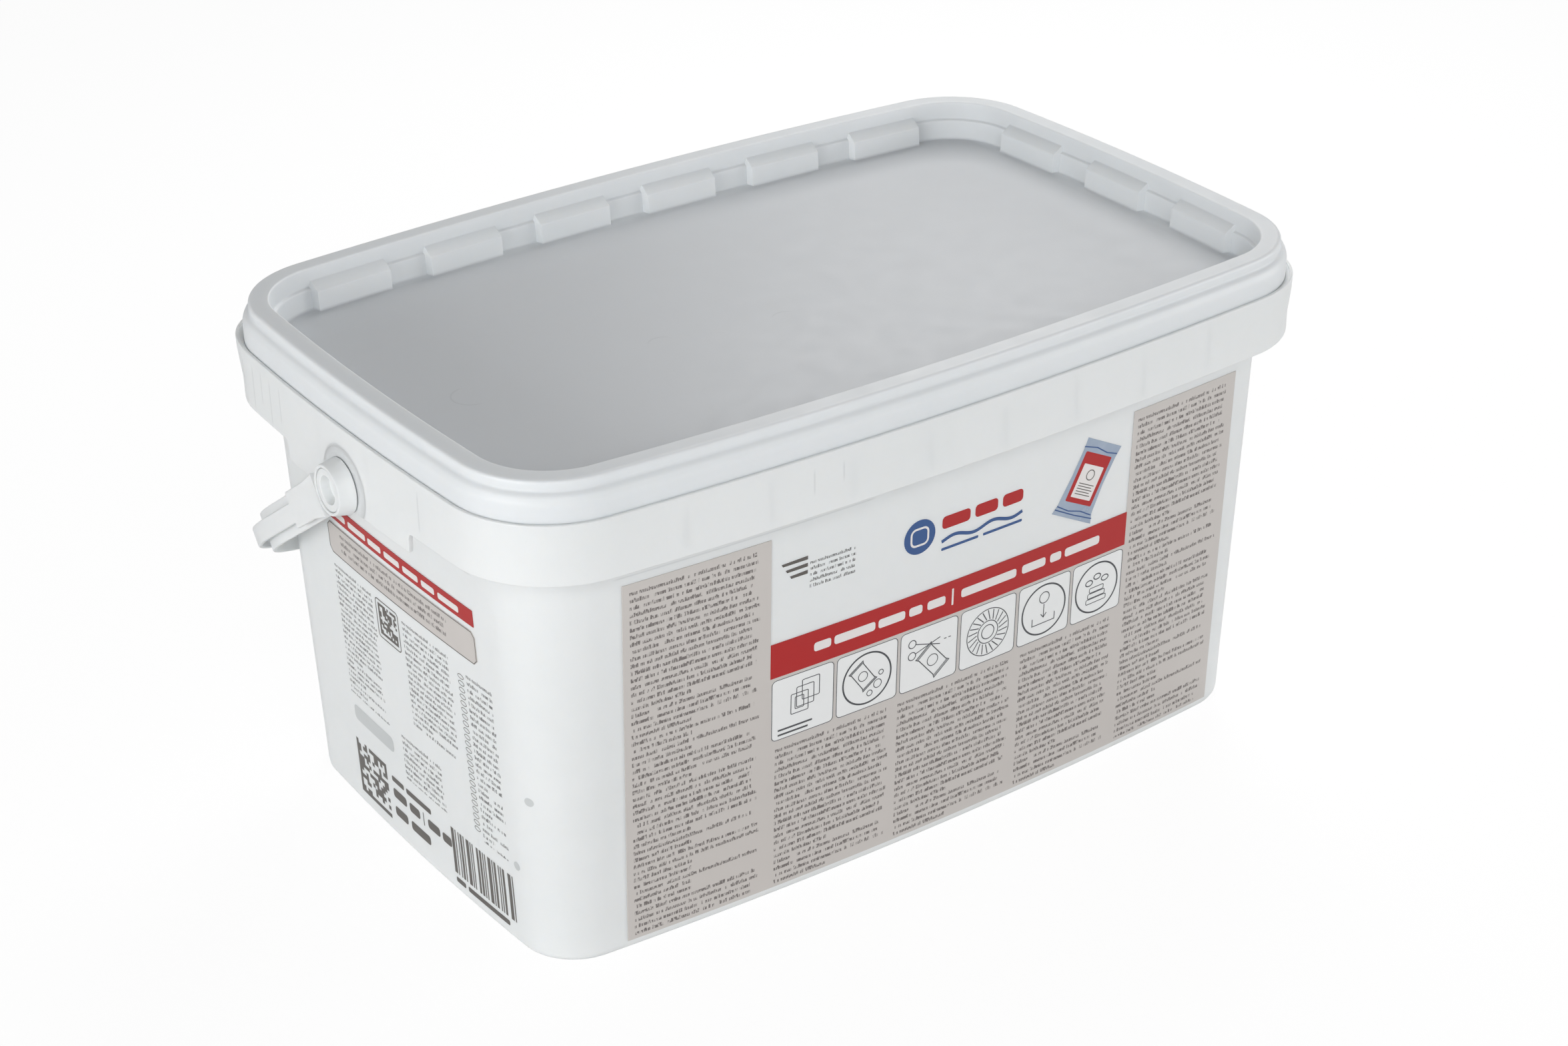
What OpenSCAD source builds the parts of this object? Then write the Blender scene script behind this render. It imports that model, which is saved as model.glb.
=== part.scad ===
// Rectangular plastic tub for wrapped oven cleaning tablets, with a press-on lid and a swinging handle.
// Millimetres, +Z up. The origin is the middle of the foot. The front faces -Y, the ends face -X and +X.
// Every outline is one bowed rounded rectangle, the lid's top ring, moved in or out by an offset.

/* [Outline] */
// Length over the lid's top ring
ring_l = 390; // [340:1:440]
// Width over the lid's top ring, at the middle of the long sides
ring_w = 245; // [225:1:280]
// Corner radius of the lid's top ring
ring_r = 40; // [34:1:50]
// How far the middle of each long side bows out
bow_long = 9.8; // [4:0.1:14]
// How far the middle of each end bows out
bow_end = 5.4; // [2:0.1:9]
// Height over the lid's top ring
total_h = 218; // [205:1:260]

/* [Tub] */
// Wall of the tub
wall_t = 2.1; // [1.6:0.1:2.6]
// Floor of the tub
floor_t = 2.6; // [1.8:0.1:4]
// How far in from the ring the wall stands at the foot
foot_in = 14.6; // [11:0.1:17]
// How far in from the ring the wall stands under the collar
waist_in = 7.9; // [7:0.1:9]
// Rounding between the wall and the floor
foot_round = 4; // [2:0.5:7]
// How far in from the ring the neck stands, which the lid closes over
neck_in = 4.3; // [4:0.1:5]
// How far the snap bead stands out from the neck
bead_out = 1.7; // [1:0.1:1.9]

/* [Collar] */
// How far out from the ring the collar's face stands
collar_out = 4.6; // [4.2:0.1:7]
// Thickness of the collar
collar_t = 1.8; // [1.4:0.1:2.4]
// Depth of the collar's lower edge below the ring's top
collar_drop = 40.2; // [36:0.2:46]
// Depth of the collar's upper lip below the ring's top
lip_drop = 15.5; // [14:0.1:17]
// Thickness of the upper lip
lip_t = 1.4; // [1:0.1:1.8]
// Depth of the gutter inside the upper lip
gutter_d = 3.2; // [2:0.1:5]
// How far the lip swells at the back left corner, where a finger lifts the lid
pry_back = 2.4; // [0.5:0.1:4]
// How far the lip swells at the front right corner
pry_front = 1.2; // [0.5:0.1:4]
// Height over which these swellings fade into the collar
pry_h = 16; // [8:1:17]
// Half width of the low tongue below the collar at each end
tongue_half = 47; // [30:1:60]
// How far the tongue hangs below the collar
tongue_drop = 8.3; // [4:0.1:14]
// Thickness of the ribs behind the collar
rib_t = 1.5; // [1:0.1:2.5]
// Ribs behind the collar on each long side
long_ribs = 8; // [4:1:12]
// Spacing of those ribs
long_rib_pitch = 36; // [24:1:38]
// Ribs behind the collar on each end
end_ribs = 4; // [2:2:4]
// Spacing of those ribs
end_rib_pitch = 38; // [32:1:40]

/* [Lid] */
// Thickness of the lid
lid_t = 1.6; // [1.2:0.1:2]
// Gap between the lid and the tub where they sit together
fit_gap = 0.4; // [0.3:0.05:0.6]
// How far out from the ring the skirt stands
skirt_out = 2.8; // [2.4:0.1:4]
// Depth of the shoulder between ring and skirt, below the ring's top
shoulder_drop = 8.1; // [7:0.1:9]
// Depth of the sunk panel below the ring's top
panel_drop = 17; // [14:0.5:24]
// Depth of the ledge in the panel's wall below the ring's top
ledge_drop = 8; // [6:0.5:10]
// Width of that ledge
ledge_w = 1.3; // [0.6:0.1:2]
// Lean of each half of the panel's wall
wall_lean = 0.6; // [0.3:0.1:1.2]
// Width of a stacking lug
lug_w = 36; // [20:1:40]
// How far a lug's sloping top runs up the wall above the ledge
lug_rise = 3; // [1:0.5:5]
// How far a stacking lug stands out from the panel's wall
lug_out = 3.6; // [2:0.1:6]
// Stacking lugs on each long side
long_lugs = 6; // [2:2:6]
// Spacing of those lugs
long_lug_pitch = 55; // [42:1:56]
// Stacking lugs on each end
end_lugs = 3; // [1:2:3]
// Spacing of those lugs
end_lug_pitch = 57; // [42:1:60]

/* [Handle] */
// Angle below level at which the handle hangs
hang_angle = 35; // [25:1:40]
// Depth of the pivots below the ring's top
pivot_drop = 39.7; // [36:0.1:42]
// Radius of the pivot stud
stud_r = 8; // [6:0.1:9]
// Radius of the hollow in the stud's end
stud_hollow_r = 5.8; // [3:0.1:6]
// Depth of that hollow
stud_hollow_d = 4; // [2:0.5:6]
// How far the stud's retaining lip stands out
stud_lip = 0.55; // [0.3:0.05:0.8]
// Height of that lip
stud_lip_h = 0.8; // [0.6:0.1:1.2]
// Depth of the stud's end below the hub's face
stud_recess = 0.4; // [0.2:0.1:0.8]
// Radius of the flat pad round the pivot
pad_r = 16.5; // [14:0.5:18]
// How far that pad stands out from the collar
pad_out = 0.4; // [0.2:0.1:0.5]
// Gap between the pad and the hub
hub_gap = 0.35; // [0.3:0.05:0.5]
// Radial running clearance between stud and hub
pin_gap = 0.08; // [0.04:0.01:0.1]
// Radius of the hub at the collar
hub_r = 11.5; // [11:0.1:14]
// Radius of the hub at its face
hub_face_r = 10.1; // [10:0.1:10.8]
// Gap between the collar and the handle's arm
arm_gap = 1; // [0.9:0.1:2]
// Width of the handle's section, in the plane of the handle
bail_w = 6.6; // [6:0.1:9]
// Height of the handle's inner wall
bail_h = 16; // [12:0.5:18]
// Height of the handle's outer band
band_h = 8; // [5:0.5:10]
// Height of the flat arm beside the hub
arm_h = 15; // [12:0.5:17]
// Length of the flat arm from the pivot
arm_flat = 40; // [30:1:60]
// Wall thickness of the handle
bail_t = 1.8; // [1.4:0.1:2.2]
// Corner radius of the handle
bail_corner_r = 78; // [60:1:80]

/* [Label] */
// Thickness of a printed film
film_t = 0.25; // [0.15:0.05:0.4]
// Distance of the front label's left edge from the ring's left end
front_left_in = 49; // [38:1:60]
// Distance of the front label's right edge from the ring's right end
front_right_in = 38; // [36:1:60]
// Left edge of the wide middle panel, from the middle
middle_left = 82; // [60:1:100]
// Right edge of the wide middle panel, from the middle
middle_right = 98; // [60:1:100]
// Depth of the front label's top below the ring's top
front_top_drop = 52.5; // [50:0.5:60]
// Height of the front label's lower edge above the foot
front_foot = 4.5; // [4.5:0.5:20]
// Depth of the red band's top below the ring's top
band_drop = 99; // [70:0.5:105]
// Height of the red band
band_tall = 15.4; // [8:0.2:20]
// Height of the pictogram tiles under the band
tile_tall = 29.2; // [20:0.2:34]
// Number of pictogram tiles
tiles = 6; // [3:1:8]
// Gap between two tiles
tile_gap = 1.2; // [0.5:0.1:3]
// Back edge of the end label, from the middle
end_back = 48.5; // [30:0.5:60]
// Front edge of the end label, from the middle
end_front = 65.5; // [55:0.5:74]
// Depth of the end label's top below the ring's top
end_top_drop = 69.3; // [60:0.1:80]
// Height of the end label's red strip
strip_tall = 7.2; // [4:0.2:12]
// Gap between the end label's strip and panel
notice_gap = 2.6; // [1:0.2:4]
// Height of the end label's grey panel
notice_tall = 14.6; // [10:0.2:30]

/* [Contents] */
// Length of a wrapped tablet
wrap_l = 61.5; // [50:0.5:62]
// Width of a wrapped tablet
wrap_w = 46; // [40:0.5:46.5]
// Thickness of a wrapped tablet
wrap_h = 22.2; // [16:0.2:23]
// Wrapped tablets in the tub
wraps = 130; // [20:1:130]
// Gap between neighbouring wraps
wrap_gap = 0.4; // [0.3:0.1:1]
// Half thickness of the flat seal at each end of a wrap
seal_t = 0.35; // [0.2:0.05:0.6]

/* [Hidden] */
$fn = 96;

// Segments of a quarter outline: on the end, round the corner and on the long side
end_steps = 3;
corner_steps = 10;
long_steps = 4;

half_l = ring_l / 2;
half_w = ring_w / 2;
// Radii and centres of the bowed sides and of the corner, shared by every offset outline
long_r = (half_l * half_l + bow_long * bow_long) / (2 * bow_long);
end_r = (half_w * half_w + bow_end * bow_end) / (2 * bow_end);
long_c = [0, half_w - long_r];
end_c = [half_l - end_r, 0];
function meet(p, q, rp, rq) =
    let (d = norm(q - p), t = (rp * rp - rq * rq + d * d) / (2 * d), h = sqrt(rp * rp - t * t),
         u = (q - p) / d)
    p + t * u + h * [-u.y, u.x];
corner_c = meet(end_c, long_c, end_r - ring_r, long_r - ring_r);
corner_from = atan2(corner_c.y - end_c.y, corner_c.x - end_c.x);
corner_to = atan2(corner_c.y - long_c.y, corner_c.x - long_c.x);

// Heights
rim_gap = 0.4;
rim_z = total_h - lid_t - rim_gap;
lip_z = total_h - lip_drop;
gutter_z = lip_z - gutter_d;
web_z = gutter_z - wall_t;
collar_z = total_h - collar_drop;
panel_z = total_h - panel_drop;
ledge_z = total_h - ledge_drop;
shoulder_z = total_h - shoulder_drop;
pivot_z = total_h - pivot_drop;
// Lean of the tub's wall, and where the wall is at a height
lean = (foot_in - waist_in) / (collar_z - foot_round);
function wall_o(z) = -foot_in + lean * (z - foot_round);

// Rounded edges, the overlap that fuses two forms, the gap under the snap bead and the bead's height
edge = 0.6;
bury = 0.8;
snap_gap = 0.3;
bead_h = 2.6;
// Rounding inside the foot, and the gap between the films and the wall
inner_round = 3;
film_gap = 0.05;
// Length of one facet of a film or a tongue
stride = 5;
// Clear height under the ribs, and the angles of the ribs in the corners
rib_lift = 3;
corner_ribs = [25, 65];
pry_steps = 3;
// The lid: the height of its rounded shoulder, the rounding of its ring and the height of its inner step
shoulder_h = 3.9;
ring_round = 1.8;
step_h = 2.4;
// The lid's plug stands inside the neck
plug_o = -(neck_in + wall_t + fit_gap);
plug_low_o = plug_o - 2 * wall_lean - ledge_w;

// The handle: the collar's face, the hub's base, the arm's inner and outer faces
collar_x = half_l + collar_out;
hub_x = collar_x + pad_out + hub_gap;
arm_x = collar_x + arm_gap;
face_x = arm_x + bail_w;
half_bail = bail_h / 2;
// The band's foot and the arm's foot above the inner wall's foot, and the web between the walls
band_lift = 3.5;
arm_lift = 1;
web_t = 2;
rest_gap = 0.5;
swing_gap = 2;
hang_r = (half_w - foot_in + lean * (pivot_z - foot_round - half_bail * cos(hang_angle))
    + half_bail * sin(hang_angle) + rest_gap) / (cos(hang_angle) + lean * sin(hang_angle));
clear_r = norm([half_w + collar_out, lip_z - pivot_z]) + swing_gap;
reach = max(hang_r, clear_r) + bail_w;

// A quarter of the outline, from the middle of an end to the middle of a long side
function quarter(o, swell = 0) = concat(
    [for (i = [0 : end_steps - 1]) let (a = corner_from * i / end_steps)
        end_c + (end_r + o) * [cos(a), sin(a)]],
    [for (i = [0 : corner_steps - 1])
        let (f = i / corner_steps, a = corner_from + (corner_to - corner_from) * f)
        corner_c + (ring_r + o + swell * pow(sin(180 * f), 2)) * [cos(a), sin(a)]],
    [for (i = [0 : long_steps]) let (a = corner_to + (90 - corner_to) * i / long_steps)
        long_c + (long_r + o) * [cos(a), sin(a)]]);

// The whole outline, with a share of the swellings at the back left and the front right corner
function outline(o, share = 0) =
    let (q = quarter(o), b = quarter(o, share * pry_back), f = quarter(o, share * pry_front),
         n = len(q) - 1)
    concat([for (i = [0 : n - 1]) q[i]], [for (i = [0 : n - 1]) [-b[n - i].x, b[n - i].y]],
           [for (i = [0 : n - 1]) -q[i]], [for (i = [0 : n - 1]) [f[n - i].x, -f[n - i].y]]);

// A moulding: a section of [offset, height, share of the swelling] points carried round the outline
module moulding(section) {
    n = len(outline(0));
    m = len(section);
    points = [for (s = section) for (p = outline(s[0], len(s) > 2 ? s[2] : 0)) [p.x, p.y, s[1]]];
    sides = [for (i = [0 : m - 2]) for (j = [0 : n - 1])
        [i * n + j, (i + 1) * n + j, (i + 1) * n + (j + 1) % n, i * n + (j + 1) % n]];
    first = [for (j = [0 : n - 1]) j];
    last = [for (j = [n - 1 : -1 : 0]) (m - 1) * n + j];
    polyhedron(points, concat(sides, [first, last]), convexity = 8);
}

// How far out an offset outline stands, at a distance along a long side or along an end
function arc_at(s, centre, r) = centre + sqrt(r * r - s * s);
function long_at(s, o) = abs(s) < corner_c.x + (ring_r + o) * cos(corner_to)
    ? arc_at(s, long_c.y, long_r + o)
    : arc_at(abs(s) - corner_c.x, corner_c.y, ring_r + o);
function end_at(s, o) = abs(s) < corner_c.y + (ring_r + o) * sin(corner_from)
    ? arc_at(s, end_c.x, end_r + o)
    : arc_at(abs(s) - corner_c.y, corner_c.x, ring_r + o);

// A point on the front or on the left end, at a distance along it, an offset and a height
function side_point(on_end, s, o, z) = on_end ? [-end_at(s, o), s, z] : [s, -long_at(s, o), z];

// A thin slab that follows a side between two distances and two heights
module slab(on_end, s0, s1, z0, z1, low, high) {
    n = ceil(abs(s1 - s0) / stride);
    first = on_end ? s1 : s0;
    last = on_end ? s0 : s1;
    rows = [[low[0], z0], [low[1], z0], [high[1], z1], [high[0], z1]];
    points = [for (i = [0 : n]) for (r = rows)
        side_point(on_end, first + (last - first) * i / n, r[0], r[1])];
    skin = [for (i = [0 : n - 1]) for (k = [0 : 3])
        [4 * i + k, 4 * i + (k + 1) % 4, 4 * i + 4 + (k + 1) % 4, 4 * i + 4 + k]];
    polyhedron(points, concat(skin, [[3, 2, 1, 0], [4 * n, 4 * n + 1, 4 * n + 2, 4 * n + 3]]));
}

// A printed film on the tub's wall
module film(on_end, s0, s1, z0, z1) {
    low = wall_o(z0) + film_gap;
    high = wall_o(z1) + film_gap;
    slab(on_end, s0, s1, z0, z1, [low, low + film_t], [high, high + film_t]);
}

module both_ends() {
    children();
    mirror([1, 0, 0]) children();
}

module both_sides() {
    children();
    mirror([0, 1, 0]) children();
}

// Ribs in the hollow between the wall and the collar
module ribs() {
    from_o = wall_o(collar_z) - bury;
    deep = collar_out - collar_t + bury - from_o;
    low = collar_z + rib_lift;
    tall = web_z + bury - low;
    both_sides() for (i = [0 : long_ribs - 1]) {
        s = (i - (long_ribs - 1) / 2) * long_rib_pitch;
        translate([s - rib_t / 2, long_at(s, from_o), low]) cube([rib_t, deep, tall]);
    }
    both_ends() for (i = [0 : end_ribs - 1]) {
        s = (i - (end_ribs - 1) / 2) * end_rib_pitch;
        translate([end_at(s, from_o), s - rib_t / 2, low]) cube([deep, rib_t, tall]);
    }
    both_ends() both_sides() for (a = corner_ribs)
        translate([corner_c.x, corner_c.y, low]) rotate(a)
            translate([ring_r + from_o, -rib_t / 2, 0]) cube([deep, rib_t, tall]);
}

// The pad round the pivot, cut off level with the tongue's lower edge
module pad() {
    from_x = collar_x - collar_t / 2;
    deep = collar_t / 2 + pad_out;
    intersection() {
        translate([from_x, 0, pivot_z]) rotate([0, 90, 0]) cylinder(r = pad_r, h = deep);
        translate([from_x, -pad_r, collar_z - tongue_drop]) cube([deep, 2 * pad_r, 2 * pad_r]);
    }
}

// The stud that the handle turns on, rooted in the wall, with a lip that retains the hub
module stud() {
    root_x = half_l + wall_o(pivot_z) - bury;
    end_x = face_x - stud_recess;
    translate([0, 0, pivot_z]) rotate([0, 90, 0]) difference() {
        union() {
            translate([0, 0, root_x]) cylinder(r = stud_r, h = end_x - root_x);
            translate([0, 0, end_x - stud_lip_h]) cylinder(r = stud_r + stud_lip, h = stud_lip_h);
        }
        translate([0, 0, end_x - stud_hollow_d]) cylinder(r = stud_hollow_r, h = stud_hollow_d + 1);
    }
}

module tub_shell() {
    top_o = collar_out;
    in_o = top_o - lip_t;
    swelling = [for (i = [0 : pry_steps])
        [top_o, lip_z - edge / 2 - pry_h * (1 - i / pry_steps), sin(90 * i / pry_steps)]];
    moulding(concat([
        [-foot_in - foot_round, 0],
        [-foot_in - foot_round * (1 - sin(30)), foot_round * (1 - cos(30))],
        [-foot_in - foot_round * (1 - sin(60)), foot_round * (1 - cos(60))],
        [-foot_in, foot_round],
        [wall_o(collar_z), collar_z],
        [wall_o(web_z - edge), web_z - edge],
        [wall_o(web_z) + edge, web_z],
        [top_o - collar_t - edge, web_z],
        [top_o - collar_t, web_z - edge],
        [top_o - collar_t, collar_z + edge / 2],
        [top_o - collar_t + edge / 2, collar_z],
        [top_o - edge / 2, collar_z],
        [top_o, collar_z + edge / 2]],
        swelling, [
        [top_o - edge / 2, lip_z, 1],
        [in_o + edge / 2, lip_z, 1],
        [in_o, lip_z - edge / 2, 1],
        [in_o, gutter_z, 1],
        [-neck_in, gutter_z],
        [-neck_in, rim_z - bead_h - 2 * bead_out],
        [-neck_in + bead_out, rim_z - bead_h - bead_out / 2],
        [-neck_in + bead_out, rim_z - bead_h],
        [-neck_in + edge, rim_z - edge / 2],
        [-neck_in - edge, rim_z],
        [-neck_in - wall_t + edge, rim_z],
        [-neck_in - wall_t, rim_z - edge],
        [-neck_in - wall_t, gutter_z + wall_t],
        [wall_o(web_z) - wall_t, web_z - wall_t],
        [wall_o(floor_t + inner_round) - wall_t, floor_t + inner_round],
        [wall_o(floor_t) - wall_t - inner_round * 0.3, floor_t + inner_round * 0.3],
        [wall_o(floor_t) - wall_t - inner_round, floor_t]]));
}

// The tongue that hangs from the collar round the pivot
module tongue() {
    inset = edge / 3;
    span = [collar_out - collar_t + inset, collar_out - inset];
    slab(true, -tongue_half, tongue_half, collar_z - tongue_drop, collar_z + rib_lift, span, span);
}

module tub() color([0.9, 0.91, 0.91]) {
    union() {
        tub_shell();
        ribs();
        both_ends() tongue();
        both_ends() pad();
        both_ends() stud();
    }
}

module lid_shell() {
    t = lid_t;
    low = gutter_z + edge;
    in_o = skirt_out - t;
    roof_z = total_h - t;
    ring_in = plug_o - t;
    shoulder = [for (a = [0 : 22.5 : 90]) [skirt_out * cos(a), shoulder_z + shoulder_h * sin(a)]];
    crown = [for (a = [0 : 30 : 90]) [-ring_round * (1 - cos(a)), total_h - ring_round * (1 - sin(a))]];
    moulding(concat([
        [plug_low_o - edge, panel_z - t],
        [plug_low_o + edge / 2, panel_z - t + edge],
        [plug_low_o + wall_lean, ledge_z - t],
        [plug_o - wall_lean, ledge_z - t + edge],
        [plug_o, roof_z - edge],
        [plug_o + edge, roof_z],
        [-t - edge, roof_z],
        [-t, roof_z - edge],
        [-t, shoulder_z + step_h],
        [-neck_in + bead_out + snap_gap, shoulder_z],
        [-neck_in + bead_out + snap_gap + edge, shoulder_z - edge],
        [in_o, shoulder_z - 3 * edge],
        [in_o, low + edge / 2],
        [in_o + edge / 2, low],
        [skirt_out - edge / 2, low],
        [skirt_out, low + edge / 2]],
        shoulder, crown, [
        [ring_in + edge, total_h],
        [ring_in, total_h - edge],
        [ring_in - wall_lean, ledge_z + edge / 2],
        [ring_in - wall_lean - ledge_w, ledge_z - edge / 2],
        [plug_low_o - t, panel_z + edge],
        [plug_low_o - t - edge, panel_z]]));
}

// The section of a lug, from the wall it grows on to its leaning face
module lug_section() {
    wall = plug_low_o - lid_t;
    sunk = lid_t / 2;
    polygon([
        [plug_o - wall_lean - sunk, ledge_z + lug_rise],
        [wall - lug_out + wall_lean, ledge_z - edge],
        [wall - lug_out, panel_z - sunk],
        [plug_low_o - sunk, panel_z - sunk]]);
}

module lug(p, turn) {
    translate([p.x, p.y, 0]) rotate([90, 0, turn]) translate([0, 0, -lug_w / 2])
        linear_extrude(lug_w) lug_section();
}

module lugs() {
    both_sides() for (i = [0 : long_lugs - 1]) {
        s = (i - (long_lugs - 1) / 2) * long_lug_pitch;
        lug([s, long_at(s, 0)], 90 - asin(s / long_r));
    }
    both_ends() for (i = [0 : end_lugs - 1]) {
        s = (i - (end_lugs - 1) / 2) * end_lug_pitch;
        lug([end_at(s, 0), s], asin(s / end_r));
    }
}

module lid() color([0.86, 0.88, 0.89]) {
    union() {
        lid_shell();
        lugs();
    }
}

// Section of the handle, measured in from its outer surface and up from its middle
module bail_section() {
    translate([0, -half_bail + band_lift]) square([bail_t, band_h]);
    translate([bail_t - bury / 2, -web_t / 2]) square([bail_w - 2 * bail_t + bury, web_t]);
    translate([bail_w - bail_t, -half_bail]) square([bail_t, bail_h]);
}

// One arm and one corner of the handle, in the handle's own plane with the pivot at the origin
module bail_half() {
    straight = reach - bail_corner_r;
    low = -half_bail + arm_lift;
    flare = 1.8 * hub_r;
    bore_r = stud_r + pin_gap;
    lip_room = stud_recess + stud_lip_h + hub_gap;
    difference() {
        union() {
            translate([-hub_x, 0, 0]) rotate([0, -90, 0])
                cylinder(r1 = hub_r, r2 = hub_face_r, h = face_x - hub_x);
            translate([-face_x + bail_t, 0, 0]) rotate([90, 0, -90]) linear_extrude(bail_t) mirror([1, 0])
                polygon([[0, -hub_face_r], [flare, low], [arm_flat, low], [arm_flat, low + arm_h],
                         [flare, low + arm_h], [0, hub_face_r]]);
            translate([0, straight, 0]) rotate([90, 0, 0]) linear_extrude(straight - bore_r - bail_t)
                translate([-face_x, 0]) bail_section();
            translate([-face_x + bail_corner_r, straight, 0]) rotate_extrude(angle = -90, start = 180)
                translate([bail_corner_r, 0]) mirror([1, 0]) bail_section();
        }
        translate([-hub_x + 1, 0, 0]) rotate([0, -90, 0]) cylinder(r = bore_r, h = bail_w + 2);
        translate([-face_x + lip_room, 0, 0]) rotate([0, -90, 0])
            cylinder(r = stud_r + stud_lip + hub_gap, h = lip_room + 1);
    }
}

module bail_grip() {
    run = 2 * (face_x - bail_corner_r);
    translate([-run / 2, reach, 0]) rotate([90, 0, 90]) linear_extrude(run) mirror([1, 0]) bail_section();
}

module handle() color([0.87, 0.88, 0.88])
    translate([0, 0, pivot_z]) rotate([-hang_angle, 0, 0]) union() {
        bail_half();
        mirror([1, 0, 0]) bail_half();
        bail_grip();
    }

front_top = total_h - front_top_drop;
band_top = total_h - band_drop;
tile_top = band_top - band_tall;
tile_foot = tile_top - tile_tall;

module front_label_grey() color([0.78, 0.765, 0.745]) {
    film(false, front_left_in - half_l, -middle_left, front_foot, front_top);
    film(false, middle_right, half_l - front_right_in, front_foot, front_top);
    film(false, -middle_left, middle_right, front_foot, tile_foot - tile_gap);
}

module front_label_red() color([0.67, 0.19, 0.21])
    film(false, -middle_left, middle_right, tile_top, band_top);

module front_label_tiles() color([0.93, 0.93, 0.93]) {
    pitch = (middle_left + middle_right) / tiles;
    for (i = [0 : tiles - 1])
        film(false, -middle_left + i * pitch + tile_gap / 2, -middle_left + (i + 1) * pitch - tile_gap / 2,
             tile_foot, tile_top - tile_gap);
}

end_top = total_h - end_top_drop;
notice_top = end_top - strip_tall - notice_gap;

module end_label_red() color([0.67, 0.19, 0.21])
    film(true, -end_front, end_back, end_top - strip_tall, end_top);

module end_label_grey() color([0.8, 0.79, 0.77])
    film(true, -end_front, end_back, notice_top - notice_tall, notice_top);

// The wraps lie in layers of columns by rows; the film runs from the tablet to the seal over a shrink
columns = 5;
rows = 4;
tablet_half = 0.36 * wrap_l;
shrink = 3;

// A wrapped tablet: the film is tight over the tablet and runs out to a flat seal at each end
module wrapped_tablet() {
    quarter_side = [[wrap_l / 2, seal_t], [tablet_half + shrink, 3 * seal_t], [tablet_half, wrap_h / 2]];
    half_side = concat(quarter_side, [for (i = [2 : -1 : 0]) [-quarter_side[i].x, quarter_side[i].y]]);
    translate([0, wrap_w / 2, wrap_h / 2]) rotate([90, 0, 0]) linear_extrude(wrap_w)
        polygon(concat(half_side, [for (p = half_side) -p]));
}

module wrapped_tablets() color([0.88, 0.88, 0.86]) {
    step = [wrap_l + wrap_gap, wrap_w + wrap_gap, wrap_h + wrap_gap];
    for (i = [0 : wraps - 1]) {
        column = i % columns;
        row = floor(i / columns) % rows;
        layer = floor(i / (columns * rows));
        translate([(column - (columns - 1) / 2) * step.x, (row - (rows - 1) / 2) * step.y,
                   floor_t + wrap_gap + layer * step.z]) wrapped_tablet();
    }
}

tub();
lid();
handle();
front_label_grey();
front_label_red();
front_label_tiles();
end_label_red();
end_label_grey();
wrapped_tablets();
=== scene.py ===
# %% [markdown]
# # A white plastic tub of wrapped cleaning tablets
#
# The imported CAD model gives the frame, the sizes and the joints. This lesson dresses it: every visible
# part is built again as a smooth mesh on the same outline, gets a procedural material, and is lit and
# seen as in a plain studio. The forms are given in millimetres and become metres in `piece`; the floor,
# the lamps and the camera are given in metres.

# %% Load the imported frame
import math

import bmesh
import bpy
import numpy as np
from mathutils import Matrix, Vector


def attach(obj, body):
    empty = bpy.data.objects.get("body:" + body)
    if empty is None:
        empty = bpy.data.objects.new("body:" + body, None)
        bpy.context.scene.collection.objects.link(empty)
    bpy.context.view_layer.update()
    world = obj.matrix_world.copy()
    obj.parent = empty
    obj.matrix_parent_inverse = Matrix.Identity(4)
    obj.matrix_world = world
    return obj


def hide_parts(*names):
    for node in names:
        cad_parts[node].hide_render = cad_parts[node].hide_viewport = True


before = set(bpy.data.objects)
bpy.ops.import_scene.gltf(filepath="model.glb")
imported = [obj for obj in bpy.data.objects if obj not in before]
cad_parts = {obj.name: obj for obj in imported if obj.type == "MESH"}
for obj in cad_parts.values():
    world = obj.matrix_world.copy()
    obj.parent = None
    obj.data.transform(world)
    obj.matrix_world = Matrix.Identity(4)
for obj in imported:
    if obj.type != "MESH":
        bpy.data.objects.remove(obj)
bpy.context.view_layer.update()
print("nodes:", ", ".join(sorted(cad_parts)))

# %% [markdown]
# ## The outline that every form shares
#
# Seen from above, the tub is a rectangle with bowed sides and round corners. Its lid's top ring is the
# reference. Each wall, collar or ledge is the same outline moved in or out by an offset, so one list of
# base points and outward normals serves them all.

# %% The outline's arcs
MM = 0.001
HALF_L, HALF_W, RING_R = 195.0, 122.5, 40.0
BOW_LONG, BOW_END = 9.8, 5.4
TOTAL_H = 218.0
LONG_R = (HALF_L ** 2 + BOW_LONG ** 2) / (2 * BOW_LONG)
END_R = (HALF_W ** 2 + BOW_END ** 2) / (2 * BOW_END)
LONG_C = np.array([0, HALF_W - LONG_R])
END_C = np.array([HALF_L - END_R, 0])


def meet(p, q, p_r, q_r):
    """The left one of the two points where two circles cross."""
    d = np.linalg.norm(q - p)
    t = (p_r ** 2 - q_r ** 2 + d ** 2) / (2 * d)
    u = (q - p) / d
    return p + t * u + math.sqrt(p_r ** 2 - t ** 2) * np.array([-u[1], u[0]])


CORNER_C = meet(END_C, LONG_C, END_R - RING_R, LONG_R - RING_R)
CORNER_FROM = math.atan2(*(CORNER_C - END_C)[::-1])
CORNER_TO = math.atan2(*(CORNER_C - LONG_C)[::-1])
print("corner centre:", CORNER_C.round(2))


# %% Stations round the outline
CORNER_STEPS = 26
ELSEWHERE = 999.0  # stands for a distance on a side that a point isn't on


def spaced(top, marks, step):
    """Distances from 0 up to top, at most a step apart, with all the marks among them."""
    stops = sorted({0.0, top, *[m for m in marks if 0 < m < top]})
    counts = [max(2, math.ceil((b - a) / step) + 1) for a, b in zip(stops, stops[1:])]
    return np.concatenate([np.linspace(a, b, n)[:-1] for a, b, n in zip(stops, stops[1:], counts)])


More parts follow.
